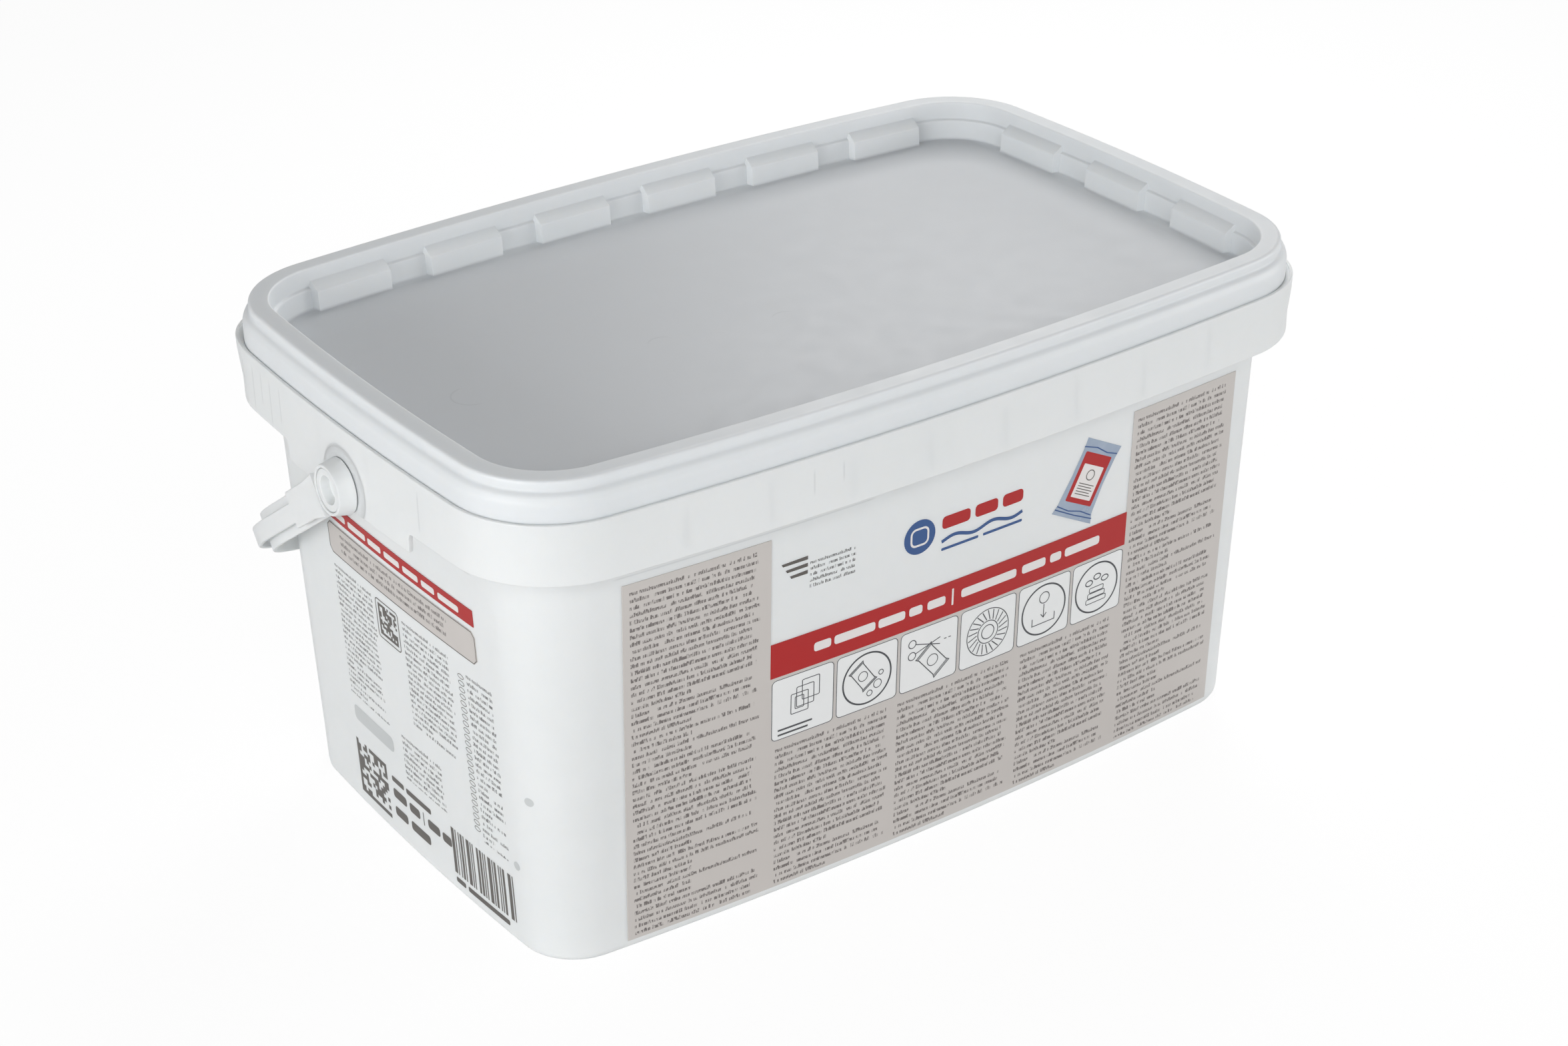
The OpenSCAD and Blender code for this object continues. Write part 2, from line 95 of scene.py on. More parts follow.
def stations(long_marks=(), end_marks=(), step=7.0):
    """A ring of base points and normals, with the distance along a side and the share of a corner."""
    end_top, long_top = END_R * math.sin(CORNER_FROM), LONG_R * math.cos(CORNER_TO)
    longs = np.append(spaced(long_top, long_marks, step), long_top)[::-1]
    shares = np.arange(CORNER_STEPS) / CORNER_STEPS
    rows = [(END_C, END_R, math.asin(y / END_R), y, ELSEWHERE, 0) for y in spaced(end_top, end_marks, step)]
    rows += [(CORNER_C, RING_R, CORNER_FROM + (CORNER_TO - CORNER_FROM) * k, ELSEWHERE, ELSEWHERE, k)
             for k in shares]
    rows += [(LONG_C, LONG_R, math.acos(x / LONG_R), ELSEWHERE, x, 0) for x in longs]
    q = np.array([[*(c + r * np.array([math.cos(a), math.sin(a)])), a, *rest] for c, r, a, *rest in rows])
    turns = []
    for quadrant, (sx, sy) in enumerate([(1, 1), (-1, 1), (-1, -1), (1, -1)]):
        part = q[:-1] if sx * sy > 0 else q[:0:-1]
        place = part[:, :2] * [sx, sy]
        normal = np.column_stack([np.cos(part[:, 2]) * sx, np.sin(part[:, 2]) * sy])
        turns.append(np.column_stack([place, normal, part[:, 3:], np.full(len(part), quadrant)]))
    ring = np.concatenate(turns)
    return {"base": ring[:, :2], "normal": ring[:, 2:4], "end_s": ring[:, 4], "long_s": ring[:, 5],
            "corner": ring[:, 6], "quadrant": ring[:, 7], "n": len(ring)}


print("stations at 7 mm steps:", stations()["n"])

# %% [markdown]
# ## Sections with soft edges
#
# A section is a list of corner points, each with the length over which its edge is rounded. The same
# helper rounds the tub's, the lid's and the handle's sections. A guard row on each side of a rounding
# keeps the flat faces beside it flat to the light.

# %% Rounding a section
EDGE_SHARE, GUARD = 0.4, 1.2  # the longest rounding on an edge, and where the guard rows stand


def rounded(rows, n, steps=4, loop=False):
    """The points of a section over n stations; a row is (offset, height, rounding)."""
    points = [np.column_stack([np.broadcast_to(np.asarray(v, float), n) for v in row[:2]]) for row in rows]
    out = []
    for i, row in enumerate(rows):
        soft = row[2] if len(row) > 2 else 0
        if not soft or (not loop and i in (0, len(rows) - 1)):
            out.append(points[i])
            continue
        p = points[i]
        a = points[i - 1] - p
        b = points[(i + 1) % len(rows)] - p
        la = np.linalg.norm(a, axis=1)[:, None]
        lb = np.linalg.norm(b, axis=1)[:, None]
        reach = np.minimum(soft, EDGE_SHARE * np.minimum(la, lb))
        a, b = a / la, b / lb
        out.append(p + a * reach * GUARD)
        for u in np.linspace(0, 1, steps + 1):
            out.append(p + a * reach * (1 - u) ** 2 + b * reach * u ** 2)
        out.append(p + b * reach * GUARD)
    return out


print("rows for one rounded corner:", len(rounded([(0, 0), (0, 5, 1), (5, 5)], 1)))

# %% [markdown]
# Three kinds of form are made: a moulding is carried round the outline, a hub or a stud is
# turned about the pivot line, and a rib is a plain cuboid.

# %% From sections to forms
CLOSING = (0.8, 0.55, 0.3)  # the rings, as shares of the outline, that close a moulding's ends


def weave(rows, cols, round_rows=False, round_cols=True):
    """The quads between neighbouring rows and columns of a grid of points."""
    faces = []
    for i in range(rows if round_rows else rows - 1):
        for j in range(cols if round_cols else cols - 1):
            k, m = (i + 1) % rows, (j + 1) % cols
            faces.append((i * cols + j, i * cols + m, k * cols + m, k * cols + j))
    return faces


def carry(ring, rows):
    """A moulding: a section carried round the ring, with a disc at the start and at the end of it."""
    loops = [np.column_stack([ring["base"] + r[:, :1] * ring["normal"], r[:, 1]]) for r in rows]
    under = [loops[0] * [k, k, 1] for k in CLOSING[::-1]]
    over = [loops[-1] * [k, k, 1] for k in CLOSING]
    grid = under + loops + over
    n = ring["n"]
    verts = np.concatenate(grid + [[[0, 0, grid[0][0, 2]]], [[0, 0, grid[-1][0, 2]]]])
    faces = weave(len(grid), n)
    low, high, last = len(verts) - 2, len(verts) - 1, (len(grid) - 1) * n
    faces += [(low, (j + 1) % n, j) for j in range(n)]
    faces += [(high, last + j, last + (j + 1) % n) for j in range(n)]
    return verts, faces


def lathe(profile, centre_z, side, count=72, floor=-math.inf):
    """A closed profile of (radius, x) turned about the pivot line; side -1 is the left end."""
    rows = rounded([(r, x, 0.3) for r, x in profile], 1, loop=True)
    turn = np.linspace(0, 2 * math.pi, count, endpoint=False)
    verts = []
    for row in rows:
        r, x = row[0]
        z = np.maximum(centre_z + r * np.sin(turn), floor)
        verts.append(np.column_stack([np.full(count, side * x), r * np.cos(turn), z]))
    return np.concatenate(verts), weave(len(rows), count, round_rows=True)


def block(low, high):
    """A plain cuboid between two corners."""
    verts = [[(low, high)[i][0], (low, high)[j][1], (low, high)[k][2]]
             for i in (0, 1) for j in (0, 1) for k in (0, 1)]
    faces = [(0, 1, 3, 2), (4, 6, 7, 5), (0, 4, 5, 1), (2, 3, 7, 6), (0, 2, 6, 4), (1, 5, 7, 3)]
    return np.array(verts), faces


print("faces of a plain cuboid:", len(block((0, 0, 0), (1, 1, 1))[1]))

# %% [markdown]
# ## Pieces
#
# Each piece is one mesh of closed forms. It rides on a body of the CAD model, and a piece that dresses
# CAD nodes names them and hides them.

# %% Making a piece
SHARP = math.radians(40)


def piece(name, parts, material, body, stands_for=()):
    """One object from a list of (points, faces) in millimetres; it rides on a body of the CAD model."""
    verts, faces, base = [], [], 0
    for points, cells in parts:
        verts.append(np.asarray(points, float))
        faces += [[i + base for i in cell] for cell in cells]
        base += len(points)
    mesh = bpy.data.meshes.new(name)
    mesh.from_pydata((np.concatenate(verts) * MM).tolist(), [], faces)
    bm = bmesh.new()
    bm.from_mesh(mesh)
    bmesh.ops.recalc_face_normals(bm, faces=bm.faces)
    bm.to_mesh(mesh)
    bm.free()
    mesh.shade_smooth()
    mesh.set_sharp_from_angle(angle=SHARP)
    mesh.materials.append(material)
    obj = bpy.data.objects.new(name, mesh)
    bpy.context.scene.collection.objects.link(obj)
    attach(obj, body)
    if stands_for:
        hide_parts(*stands_for)
    print(f"{name}: {len(faces)} faces")


print("an edge is sharp from", round(math.degrees(SHARP)), "degrees")

# %% [markdown]
# ## Node trees in short calls
#
# A small helper keeps the material cells readable. `put` either links a socket or writes a value.

# %% A helper for node trees
class Tree:
    """Short calls for building a node tree."""

    def __init__(self, tree):
        self.tree = tree

    def put(self, node, key, value):
        if isinstance(value, bpy.types.NodeSocket):
            self.tree.links.new(value, node.inputs[key])
        else:
            node.inputs[key].default_value = value

    def new(self, kind, settings=(), **inputs):
        node = self.tree.nodes.new(kind)
        for key, value in dict(settings).items():
            setattr(node, key, value)
        for key, value in inputs.items():
            self.put(node, key.replace("_", " "), value)
        return node

    def math(self, operation, *values):
        node = self.new("ShaderNodeMath", {"operation": operation})
        for i, value in enumerate(values):
            self.put(node, i, value)
        return node.outputs[0]

    def chain(self, operation, values):
        """Several values joined, one after the other, by the same operation."""
        total, *rest = values
        for value in rest:
            total = self.math(operation, total, value)
        return total

    def ramp(self, value, low, high, to_low=0.0, to_high=1.0, kind="LINEAR"):
        node = self.new("ShaderNodeMapRange", {"interpolation_type": kind}, Value=value)
        for key, number in (("From Min", low), ("From Max", high), ("To Min", to_low), ("To Max", to_high)):
            self.put(node, key, number)
        return node.outputs[0]

    def mix(self, share, a, b):
        node = self.new("ShaderNodeMix", {"data_type": "RGBA"})
        self.put(node, 0, share)
        self.put(node, 6, a)
        self.put(node, 7, b)
        return node.outputs[2]

    def split(self, vector):
        return self.new("ShaderNodeSeparateXYZ", Vector=vector).outputs

    def join(self, x, y, z):
        return self.new("ShaderNodeCombineXYZ", X=x, Y=y, Z=z).outputs[0]

    def place(self):
        """The point on the object in millimetres."""
        at = self.new("ShaderNodeTexCoord").outputs["Object"]
        node = self.new("ShaderNodeVectorMath", {"operation": "SCALE"})
        self.put(node, 0, at)
        self.put(node, "Scale", 1 / MM)
        return node.outputs[0]

    def group(self, group, **inputs):
        return self.new("ShaderNodeGroup", {"node_tree": group}, **inputs).outputs


def new_group(name, inputs, outputs):
    """An empty shared group, its tree helper, its inputs and the node that takes its outputs."""
    group = bpy.data.node_groups.new(name, "ShaderNodeTree")
    for label, value in inputs.items():
        kind = "NodeSocketVector" if value is None else "NodeSocketFloat"
        socket = group.interface.new_socket(name=label, in_out="INPUT", socket_type=kind)
        if value is not None:
            socket.default_value = value
    for label in outputs:
        kind = "NodeSocketVector" if label == "Normal" else "NodeSocketFloat"
        group.interface.new_socket(name=label, in_out="OUTPUT", socket_type=kind)
    tree = Tree(group)
    return group, tree, tree.new("NodeGroupInput").outputs, tree.new("NodeGroupOutput")


def srgb(r, g, b):
    """A colour given as 0 to 255 on screen, as Blender's linear values."""
    shares = [c / 255 for c in (r, g, b)]
    return tuple(c / 12.92 if c < 0.041 else ((c + 0.055) / 1.055) ** 2.4 for c in shares) + (1.0,)


print("mid grey in linear values:", round(srgb(128, 128, 128)[0], 3))

# %% [markdown]
# ## Shared groups
#
# `moulded_surface` is what all the moulded plastic has in common: a soft unevenness of tone from the
# melt's flow, a fine grain, and gloss that comes and goes a little. `greeked_rows` draws rows of words
# that can't be read: a place holder for small print, in any column that it is given. `faint_line` is one
# thin line or ring on the plastic, which fades out at the walls of a box.

# %% The group for moulded surfaces
moulded, t, given, out = new_group(
    "moulded_surface", {"Place": None, "Grain": 1.6, "Depth": 0.1, "Gloss": 0.4},
    ["Tone", "Roughness", "Normal"])
flow = t.new("ShaderNodeTexNoise", Vector=given["Place"], Scale=0.011, Detail=3.0, Roughness=0.5).outputs[0]
patch = t.new("ShaderNodeTexNoise", Vector=given["Place"], Scale=0.09, Detail=4.0, Roughness=0.6).outputs[0]
grain = t.new("ShaderNodeTexNoise", Vector=given["Place"], Scale=given["Grain"], Detail=2.0).outputs[0]
t.put(out, "Tone", t.math("ADD", t.ramp(flow, 0.3, 0.7, 0.0, 0.7), t.ramp(patch, 0.3, 0.7, 0.0, 0.3)))
t.put(out, "Roughness", t.math("ADD", given["Gloss"], t.ramp(patch, 0.25, 0.75, -0.05, 0.05)))
soft_bump = t.new("ShaderNodeBump", Strength=0.12, Distance=0.0006, Height=flow)
bump = t.new("ShaderNodeBump", Strength=given["Depth"], Distance=0.00005, Height=grain,
             Normal=soft_bump.outputs[0])
t.put(out, "Normal", bump.outputs[0])
print("shared group:", moulded.name)

# %% The group for rows of small print
# Widths are shares of the pitch. A letter is a space, or tall, and a row is short, by the value of a
# random number for it.
LETTER_W, SPACE_TO, TALL_FROM, SHORT_FROM = 0.27, 0.16, 0.72, 0.86
BODY_TOP, BODY_FOOT, ASCENDER = 0.36, 0.78, 0.16
RAGGED, SHORTER = 0.1, 0.45
greeked, t, given, out = new_group(
    "greeked_rows", {"Along": 0, "Up": 0, "Left": 0, "Right": 10, "Foot": 0, "Top": 10, "Pitch": 3.15}, ["Ink"])
line = t.math("DIVIDE", t.math("SUBTRACT", given["Top"], given["Up"]), given["Pitch"])
row, down = t.math("FLOOR", line), t.math("FRACT", line)
run = t.math("SUBTRACT", given["Along"], given["Left"])
em = t.math("DIVIDE", run, t.math("MULTIPLY", given["Pitch"], LETTER_W))
solid = {"noise_dimensions": "3D"}
letter = t.new("ShaderNodeTexWhiteNoise", solid, Vector=t.join(t.math("FLOOR", em), row, 0.0)).outputs[0]
ends = t.new("ShaderNodeTexWhiteNoise", solid, Vector=t.join(3.0, row, 7.0)).outputs[0]
blots = t.join(t.math("MULTIPLY", em, 2.3), t.math("MULTIPLY", row, 9.7), t.math("MULTIPLY", down, 1.6))
blot = t.new("ShaderNodeTexNoise", solid, Scale=1.0, Detail=0.0, Vector=blots).outputs[0]
tall = t.math("GREATER_THAN", letter, TALL_FROM)
body_top = t.math("SUBTRACT", BODY_TOP, t.math("MULTIPLY", tall, ASCENDER))
inside = t.math("MULTIPLY", t.math("GREATER_THAN", down, body_top), t.math("LESS_THAN", down, BODY_FOOT))
in_word = t.math("GREATER_THAN", letter, SPACE_TO)
short = t.math("GREATER_THAN", ends, SHORT_FROM)
width = t.math("SUBTRACT", given["Right"], given["Left"])
lost = t.math("ADD", t.math("MULTIPLY", ends, RAGGED), t.math("MULTIPLY", short, SHORTER))
in_row = t.math("LESS_THAN", run, t.math("MULTIPLY", width, t.math("SUBTRACT", 0.99, lost)))
in_box = t.chain("MULTIPLY", [t.math("GREATER_THAN", run, 0.0), t.math("LESS_THAN", given["Up"], given["Top"]),
                              t.math("GREATER_THAN", given["Up"], given["Foot"])])
ink = t.chain("MULTIPLY", [inside, in_word, in_row, in_box])
t.put(out, "Ink", t.math("MULTIPLY", ink, t.ramp(blot, 0.42, 0.52, 0.15, 1.0)))
print("shared group:", greeked.name)

# %% The group for faint lines
FADE = 3.0
faint_line, t, given, out = new_group(
    "faint_line", {"Place": None, "Away": 0, "Half": 1, "Low": None, "High": None}, ["Mask"])
mask = t.math("SUBTRACT", 1.0, t.math("DIVIDE", t.math("ABSOLUTE", given["Away"]), given["Half"]))
fades = [t.math("MAXIMUM", mask, 0.0)]
for here, low, high in zip(t.split(given["Place"]), t.split(given["Low"]), t.split(given["High"])):
    fades += [t.ramp(here, low, t.math("ADD", low, FADE)),
              t.ramp(here, t.math("SUBTRACT", high, FADE), high, 1.0, 0.0)]
t.put(out, "Mask", t.chain("MULTIPLY", fades))
print("shared group:", faint_line.name)

# %% [markdown]
# ## Materials
#
# The moulded parts share one recipe with their own tone and gloss. The tub and the films add their small
# print, and the tub and the lid add faint lines. All of them read the same place on the object, so print
# and wall meet without a seam.

# %% Masks for the recipe
FAR = 1000.0
FRONT_FROM, END_FROM = -90.0, -170.0
PANEL_Z = 201.0


def faint_marks(tree, place, marks):
    """Faint lines; a mark is (axis or middle, its place or radius, half width, low and high corner)."""
    masks = []
    for where, size, half, low, high in marks:
        if isinstance(where, int):
            reach = tree.split(place)[where]
        else:
            gap = tree.new("ShaderNodeVectorMath", {"operation": "DISTANCE"})
            tree.put(gap, 0, place)
            tree.put(gap, 1, where)
            reach = gap.outputs["Value"]
        low, high = ([far if v is None else v for v in corner] for far, corner in ((-FAR, low), (FAR, high)))
        masks.append(tree.group(faint_line, Place=place, Away=tree.math("SUBTRACT", reach, size), Half=half,
                                Low=low, High=high)["Mask"])
    return tree.chain("MAXIMUM", masks)


def panel_painted_shade(tree, place):
    """1 on the lid's sunk panel, where a darker colour is painted in as the shade the recessed panel lies in.
    """
    x, y, z = tree.split(place)
    edges = ((z, PANEL_Z + 0.15, PANEL_Z + 1.2), (tree.math("ABSOLUTE", y), 104, 110),
             (tree.math("ABSOLUTE", x), 176, 182))
    return tree.chain("MULTIPLY", [tree.ramp(here, low, high, 1.0, 0.0) for here, low, high in edges])


def print_mask(tree, place, rows):
    """The ink of several blocks of greeked rows, on the front (axis x) or on the left end (axis y)."""
    x, y, z = tree.split(place)
    masks = []
    for axis, left, right, foot, top, pitch in rows:
        along = x if axis == "x" else tree.math("MULTIPLY", y, -1.0)
        across, edge = (y, FRONT_FROM) if axis == "x" else (x, END_FROM)
        block_ink = tree.group(greeked, Along=along, Up=z, Left=left, Right=right, Foot=foot, Top=top,
                               Pitch=pitch)["Ink"]
        masks.append(tree.math("MULTIPLY", tree.math("LESS_THAN", across, edge), block_ink))
    return tree.chain("MAXIMUM", masks)


print("the panel's mask starts at", PANEL_Z, "mm")

# %% The recipe for moulded plastic
ROW_GREY, MARK_GREY, MARK_SHARE = srgb(118, 112, 110), srgb(176, 180, 182), 0.3


def moulded_plastic(name, light, dark, gloss, grain, depth, rows=(), row_colour=ROW_GREY, scatter=0.35,
                    marks=(), panel=None):
    """A satin plastic or a printed film: two tones, gloss and grain, with small print, lines or painted shade
    on a panel.
    """
    material = bpy.data.materials.new(name)
    material.use_nodes = True
    tree = Tree(material.node_tree)
    shader = material.node_tree.nodes["Principled BSDF"]
    place = tree.place()
    surface = tree.group(moulded, Place=place, Grain=grain, Depth=depth, Gloss=gloss)
    colour = tree.mix(surface["Tone"], light, dark)
    # painted shade: the lid's sunk panel gets a darker colour that stands in for the shade it lies in
    if panel:
        colour = tree.mix(panel_painted_shade(tree, place), colour, panel)
    if marks:
        faint = tree.math("MULTIPLY", faint_marks(tree, place, marks), MARK_SHARE)
        colour = tree.mix(faint, colour, MARK_GREY)
    if rows:
        colour = tree.mix(print_mask(tree, place, rows), colour, row_colour)
    tree.put(shader, "Base Color", colour)
    tree.put(shader, "Roughness", surface["Roughness"])
    tree.put(shader, "Normal", surface["Normal"])
    shader.inputs["Specular IOR Level"].default_value = 0.5
    shader.inputs["Subsurface Weight"].default_value = scatter
    shader.inputs["Subsurface Radius"].default_value = (1.0, 0.9, 0.8)
    shader.inputs["Subsurface Scale"].default_value = 0.004
    return material


print("share of a faint line's grey:", MARK_SHARE)

# %% Small print and faint lines, by place
FRONT_ROWS = [("x", -143.0, -85.5, 6.0, 163.0, 3.15), ("x", -79.5, -23.5, 6.0, 71.5, 3.15),
              ("x", -20.7, 39.5, 6.0, 71.5, 3.15), ("x", 42.8, 95.0, 6.0, 71.5, 3.15),
              ("x", 100.5, 154.0, 6.0, 162.5, 3.15)]
WALL_ROWS = [("x", -64.3, -42.0, 138.2, 151.4, 2.6), ("y", -47.5, -13.5, 58.0, 119.5, 2.6),
             ("y", 8.5, 45.0, 69.0, 119.0, 2.75), ("y", 55.5, 74.0, 39.0, 117.0, 3.05),
             ("y", -4.0, 29.0, 38.0, 60.0, 2.9)]
NOTICE_ROWS = FRONT_ROWS + [("y", -38.0, 50.0, 127.2, 137.0, 3.3)]
LABEL_EDGE = [(2, 168.9, 0.5, (-150, None, None), (-34, -100, None)),
              (2, 164.5, 0.5, (None, -68, None), (-165, -38, None))]
# painted shade: grey lines on the collar over the ribs stand in for the light and shade on sink marks there
PAINTED_SINK_SHADE = [(1, y, 0.7, (None, None, foot), (-165, None, 199)) for y, foot in
              ((52.0, 182), (61.0, 178), (69.0, 184), (77.0, 179), (88.0, 186), (-56.0, 181))]
PAINTED_SINK_SHADE += [(0, x, 0.6, (None, None, foot), (None, -100, 198)) for x, foot in ((-71.6, 186), (-58.5, 188))]
GATE_MARKS = [((-5.9, -17.0, PANEL_Z), 6.0, 0.6, (None, -14, None), (None, None, None)),
              ((-59.4, -7.5, PANEL_Z), 6.0, 0.6, (None, -5, None), (None, None, None)),
              ((-144.5, -3.3, PANEL_Z), 8.0, 0.6, (None, None, None), (-144, None, None))]
print("blocks of small print:", len(NOTICE_ROWS + WALL_ROWS))
print("faint lines:", len(LABEL_EDGE + PAINTED_SINK_SHADE + GATE_MARKS))

# %% The materials of the moulded parts and of the label
tub_plastic = moulded_plastic("tub_plastic", srgb(238, 240, 240), srgb(233, 236, 236), 0.42, 1.1, 0.12,
                              WALL_ROWS, srgb(122, 122, 122), marks=LABEL_EDGE + PAINTED_SINK_SHADE)
# the panel colour is painted shade on the lid's sunk panel, not a colour of the plastic
lid_plastic = moulded_plastic("lid_plastic", srgb(235, 238, 240), srgb(230, 234, 236), 0.44, 1.6, 0.2,
                              marks=GATE_MARKS, panel=srgb(211, 214, 217))
handle_plastic = moulded_plastic("handle_plastic", srgb(238, 240, 240), srgb(232, 235, 236), 0.4, 1.1, 0.12)


def label_film(name, light, dark, rows=()):
    """One colour of the label, on film too thin to scatter light."""
    return moulded_plastic(name, light, dark, 0.38, 1.4, 0.08, rows, scatter=0.0)


grey_film = label_film("grey_film", srgb(206, 201, 197), srgb(203, 198, 194), NOTICE_ROWS)
red_film = label_film("red_film", srgb(180, 30, 30), srgb(174, 27, 28))
white_film = label_film("white_film", srgb(240, 241, 241), srgb(236, 238, 238))
print("materials:", ", ".join(m.name for m in bpy.data.materials if m.users))

# %% [markdown]
# ## The tub
#
# One section runs from the middle of the foot up the leaning wall, through the hollow collar, the lip,
# the gutter and the neck with its snap bead, and down the inside to the middle of the floor. Where the
# ends have a tongue the collar's lower edge drops, and at two corners the lip swells for a finger.

# %% The tub's section
FOOT_IN, TOP_IN, FOOT_ROUND, WALL_T, FLOOR_T = 14.6, 7.9, 4.0, 2.1, 2.6
COLLAR_OUT, COLLAR_T, COLLAR_Z, LIP_Z, LIP_T = 4.6, 1.8, 177.8, 202.5, 1.4
GUTTER_Z, WEB_Z, RIM_Z, PIVOT_Z = 199.3, 197.2, 216.0, 178.3
NECK_IN, BEAD_OUT, BEAD_H = 4.3, 1.7, 2.6
LEAN = (FOOT_IN - TOP_IN) / (COLLAR_Z - FOOT_ROUND)
TONGUE_DROP = 8.3


def wall_o(z):
    """The offset of the tub's wall at a height."""
    return -FOOT_IN + LEAN * (z - FOOT_ROUND)


ring = stations(end_marks=[44, 46.4, 46.9, 47.1, 47.5, 48.2, 49.5])
near = np.abs(ring["end_s"])
tongue = np.interp(near, [46.4, 46.9, 47.1, 47.5, 48.2, 49.5], [1, 0.92, 0.3, 0.14, 0.04, 0])
swell = np.where(ring["quadrant"] == 1, 2.4, np.where(ring["quadrant"] == 3, 1.2, 0.0))
swell = swell * np.sin(math.pi * ring["corner"]) ** 2
foot_z = COLLAR_Z - TONGUE_DROP * tongue
inner = COLLAR_OUT - COLLAR_T
section = rounded([
    (-FOOT_IN - 16, 0), (-FOOT_IN, 0, FOOT_ROUND), (wall_o(20), 20), (wall_o(60), 60), (wall_o(110), 110),
    (wall_o(168), 168), (wall_o(WEB_Z), WEB_Z, 0.8), (inner, WEB_Z, 0.8), (inner, foot_z, 0.35),
    (COLLAR_OUT, foot_z, 0.45), (COLLAR_OUT, COLLAR_Z + 3), (COLLAR_OUT, LIP_Z - 16),
    (COLLAR_OUT + 0.5 * swell, LIP_Z - 10.7), (COLLAR_OUT + 0.87 * swell, LIP_Z - 5.4),
    (COLLAR_OUT + swell, LIP_Z, 0.6), (COLLAR_OUT - LIP_T + swell, LIP_Z, 0.3),
    (COLLAR_OUT - LIP_T + swell, LIP_Z - 0.5, 0.1), (COLLAR_OUT - LIP_T - 0.34, LIP_Z - 0.65, 0.1),
    (COLLAR_OUT - LIP_T - 0.34, GUTTER_Z, 0.3), (-NECK_IN, GUTTER_Z, 0.6),
    (-NECK_IN, RIM_Z - BEAD_H - 2 * BEAD_OUT, 1.0), (-NECK_IN + BEAD_OUT, RIM_Z - BEAD_H - BEAD_OUT / 2, 0.6),
    (-NECK_IN + BEAD_OUT, RIM_Z - BEAD_H, 0.6), (-NECK_IN, RIM_Z, 0.6), (-NECK_IN - WALL_T, RIM_Z, 0.6),
    (-NECK_IN - WALL_T, GUTTER_Z + WALL_T, 0.8), (wall_o(WEB_Z) - WALL_T, WEB_Z - WALL_T, 0.8),
    (wall_o(100) - WALL_T, 100), (wall_o(FLOOR_T) - WALL_T, FLOOR_T, 3.0), (wall_o(FLOOR_T) - 20, FLOOR_T)],
    ring["n"])
tub_parts = [carry(ring, section)]
print("tub section:", len(section), "rows of", ring["n"], "points")


# %% Distances out to a side, for ribs and for print
SIDES = {"front": (LONG_C[1], LONG_R, *CORNER_C, math.cos(CORNER_TO)),
         "end": (END_C[0], END_R, *CORNER_C[::-1], math.sin(CORNER_FROM))}


def out_at(side, s, o):
    """How far out an offset outline stands, at a distance along the front or along an end."""
    middle, radius, turn_at, turn_out, share = SIDES[side]
    s, o = np.abs(s), np.asarray(o, float)
    flat = middle + np.sqrt((radius + o) ** 2 - s ** 2)
    bend = turn_out + np.sqrt(np.maximum((RING_R + o) ** 2 - (s - turn_at) ** 2, 0))
    return np.where(s >= turn_at + (RING_R + o) * share, bend, flat)


print("half the collar's size:", [float(out_at(side, 0, COLLAR_OUT)) for side in SIDES])

# %% [markdown]
# Behind the collar stand thin ribs. At each end a round pad and a stud carry the handle; the pad is cut
# off below where the tongue ends.

# %% Ribs behind the collar, pivot pads and studs
RIB_HALF, BITE = 0.75, 0.8  # half a rib's thickness, and how far it runs into the walls
RIB_LOW, RIB_HIGH = COLLAR_Z + 3, WEB_Z + BITE
rib_o = wall_o(COLLAR_Z) - BITE
for side, count, pitch in (("front", 8, 36), ("end", 4, 38)):
    for s in (np.arange(count) - (count - 1) / 2) * pitch:
        near, far = float(out_at(side, s, rib_o)), float(out_at(side, s, 0)) + inner + BITE
        for a, b in ((near, far), (-far, -near)):
            low, high = ((s - RIB_HALF, a), (s + RIB_HALF, b))
            if side == "end":
                low, high = low[::-1], high[::-1]
            tub_parts.append(block((*low, RIB_LOW), (*high, RIB_HIGH)))
COLLAR_X = HALF_L + COLLAR_OUT
FACE_X = COLLAR_X + 7.6
STUD_FROM = HALF_L - 8
PAD = [(0.01, COLLAR_X - 0.9), (0.01, COLLAR_X + 0.2), (13.8, COLLAR_X + 0.2), (16.5, COLLAR_X - 0.15),
       (16.5, COLLAR_X - 0.9)]
STUD = [(0.01, STUD_FROM), (0.01, FACE_X - 4.4), (5.8, FACE_X - 4.4), (5.8, FACE_X - 0.4),
        (8.55, FACE_X - 0.4), (8.55, FACE_X - 1.2), (8, FACE_X - 1.3), (8, STUD_FROM)]
for side in (1, -1):
    tub_parts.append(lathe(PAD, PIVOT_Z, side, 96, COLLAR_Z - TONGUE_DROP))
    tub_parts.append(lathe(STUD, PIVOT_Z, side))
piece("tub_shell", tub_parts, tub_plastic, "tub", ["tub"])

# %% [markdown]
# ## The lid
#
# The lid's section starts under its panel and follows the plug wall, the ring, the skirt and back to
# the panel's top. The stacking lugs are part of the same moulding: where a lug stands, the inner wall's
# points move out to the lug's own profile.

# %% The lid's section
LID_T, SKIRT_OUT, SHOULDER_Z, LEDGE_Z = 1.6, 2.8, 209.9, 210.0
WALL_LEAN, LEDGE_W, LUG_OUT, LUG_RISE = 0.6, 1.3, 3.6, 3.0
PLUG_O = -(NECK_IN + WALL_T + 0.4)
PLUG_LOW_O = PLUG_O - 2 * WALL_LEAN - LEDGE_W
RING_IN = PLUG_O - LID_T
LOW_Z = GUTTER_Z + 0.6
SLANT = 0.45  # half the width of a lug's slanting side
long_lugs, end_lugs, half_lug = [27.5, 82.5, 137.5], [0.0, 57.0], 18.0


def lug_edges(centres):
    """Marks where the lugs' sides begin and end."""
    return [abs(c + k * half_lug + d) for c in centres for k in (-1, 1) for d in (-SLANT, SLANT)]


def lug_share(s, centres):
    """1 on a lug, 0 beside it, with steep sides."""
    off = np.min([np.abs(s - c) for c in centres], axis=0)
    return np.interp(off, [half_lug - SLANT, half_lug + SLANT], [1, 0])


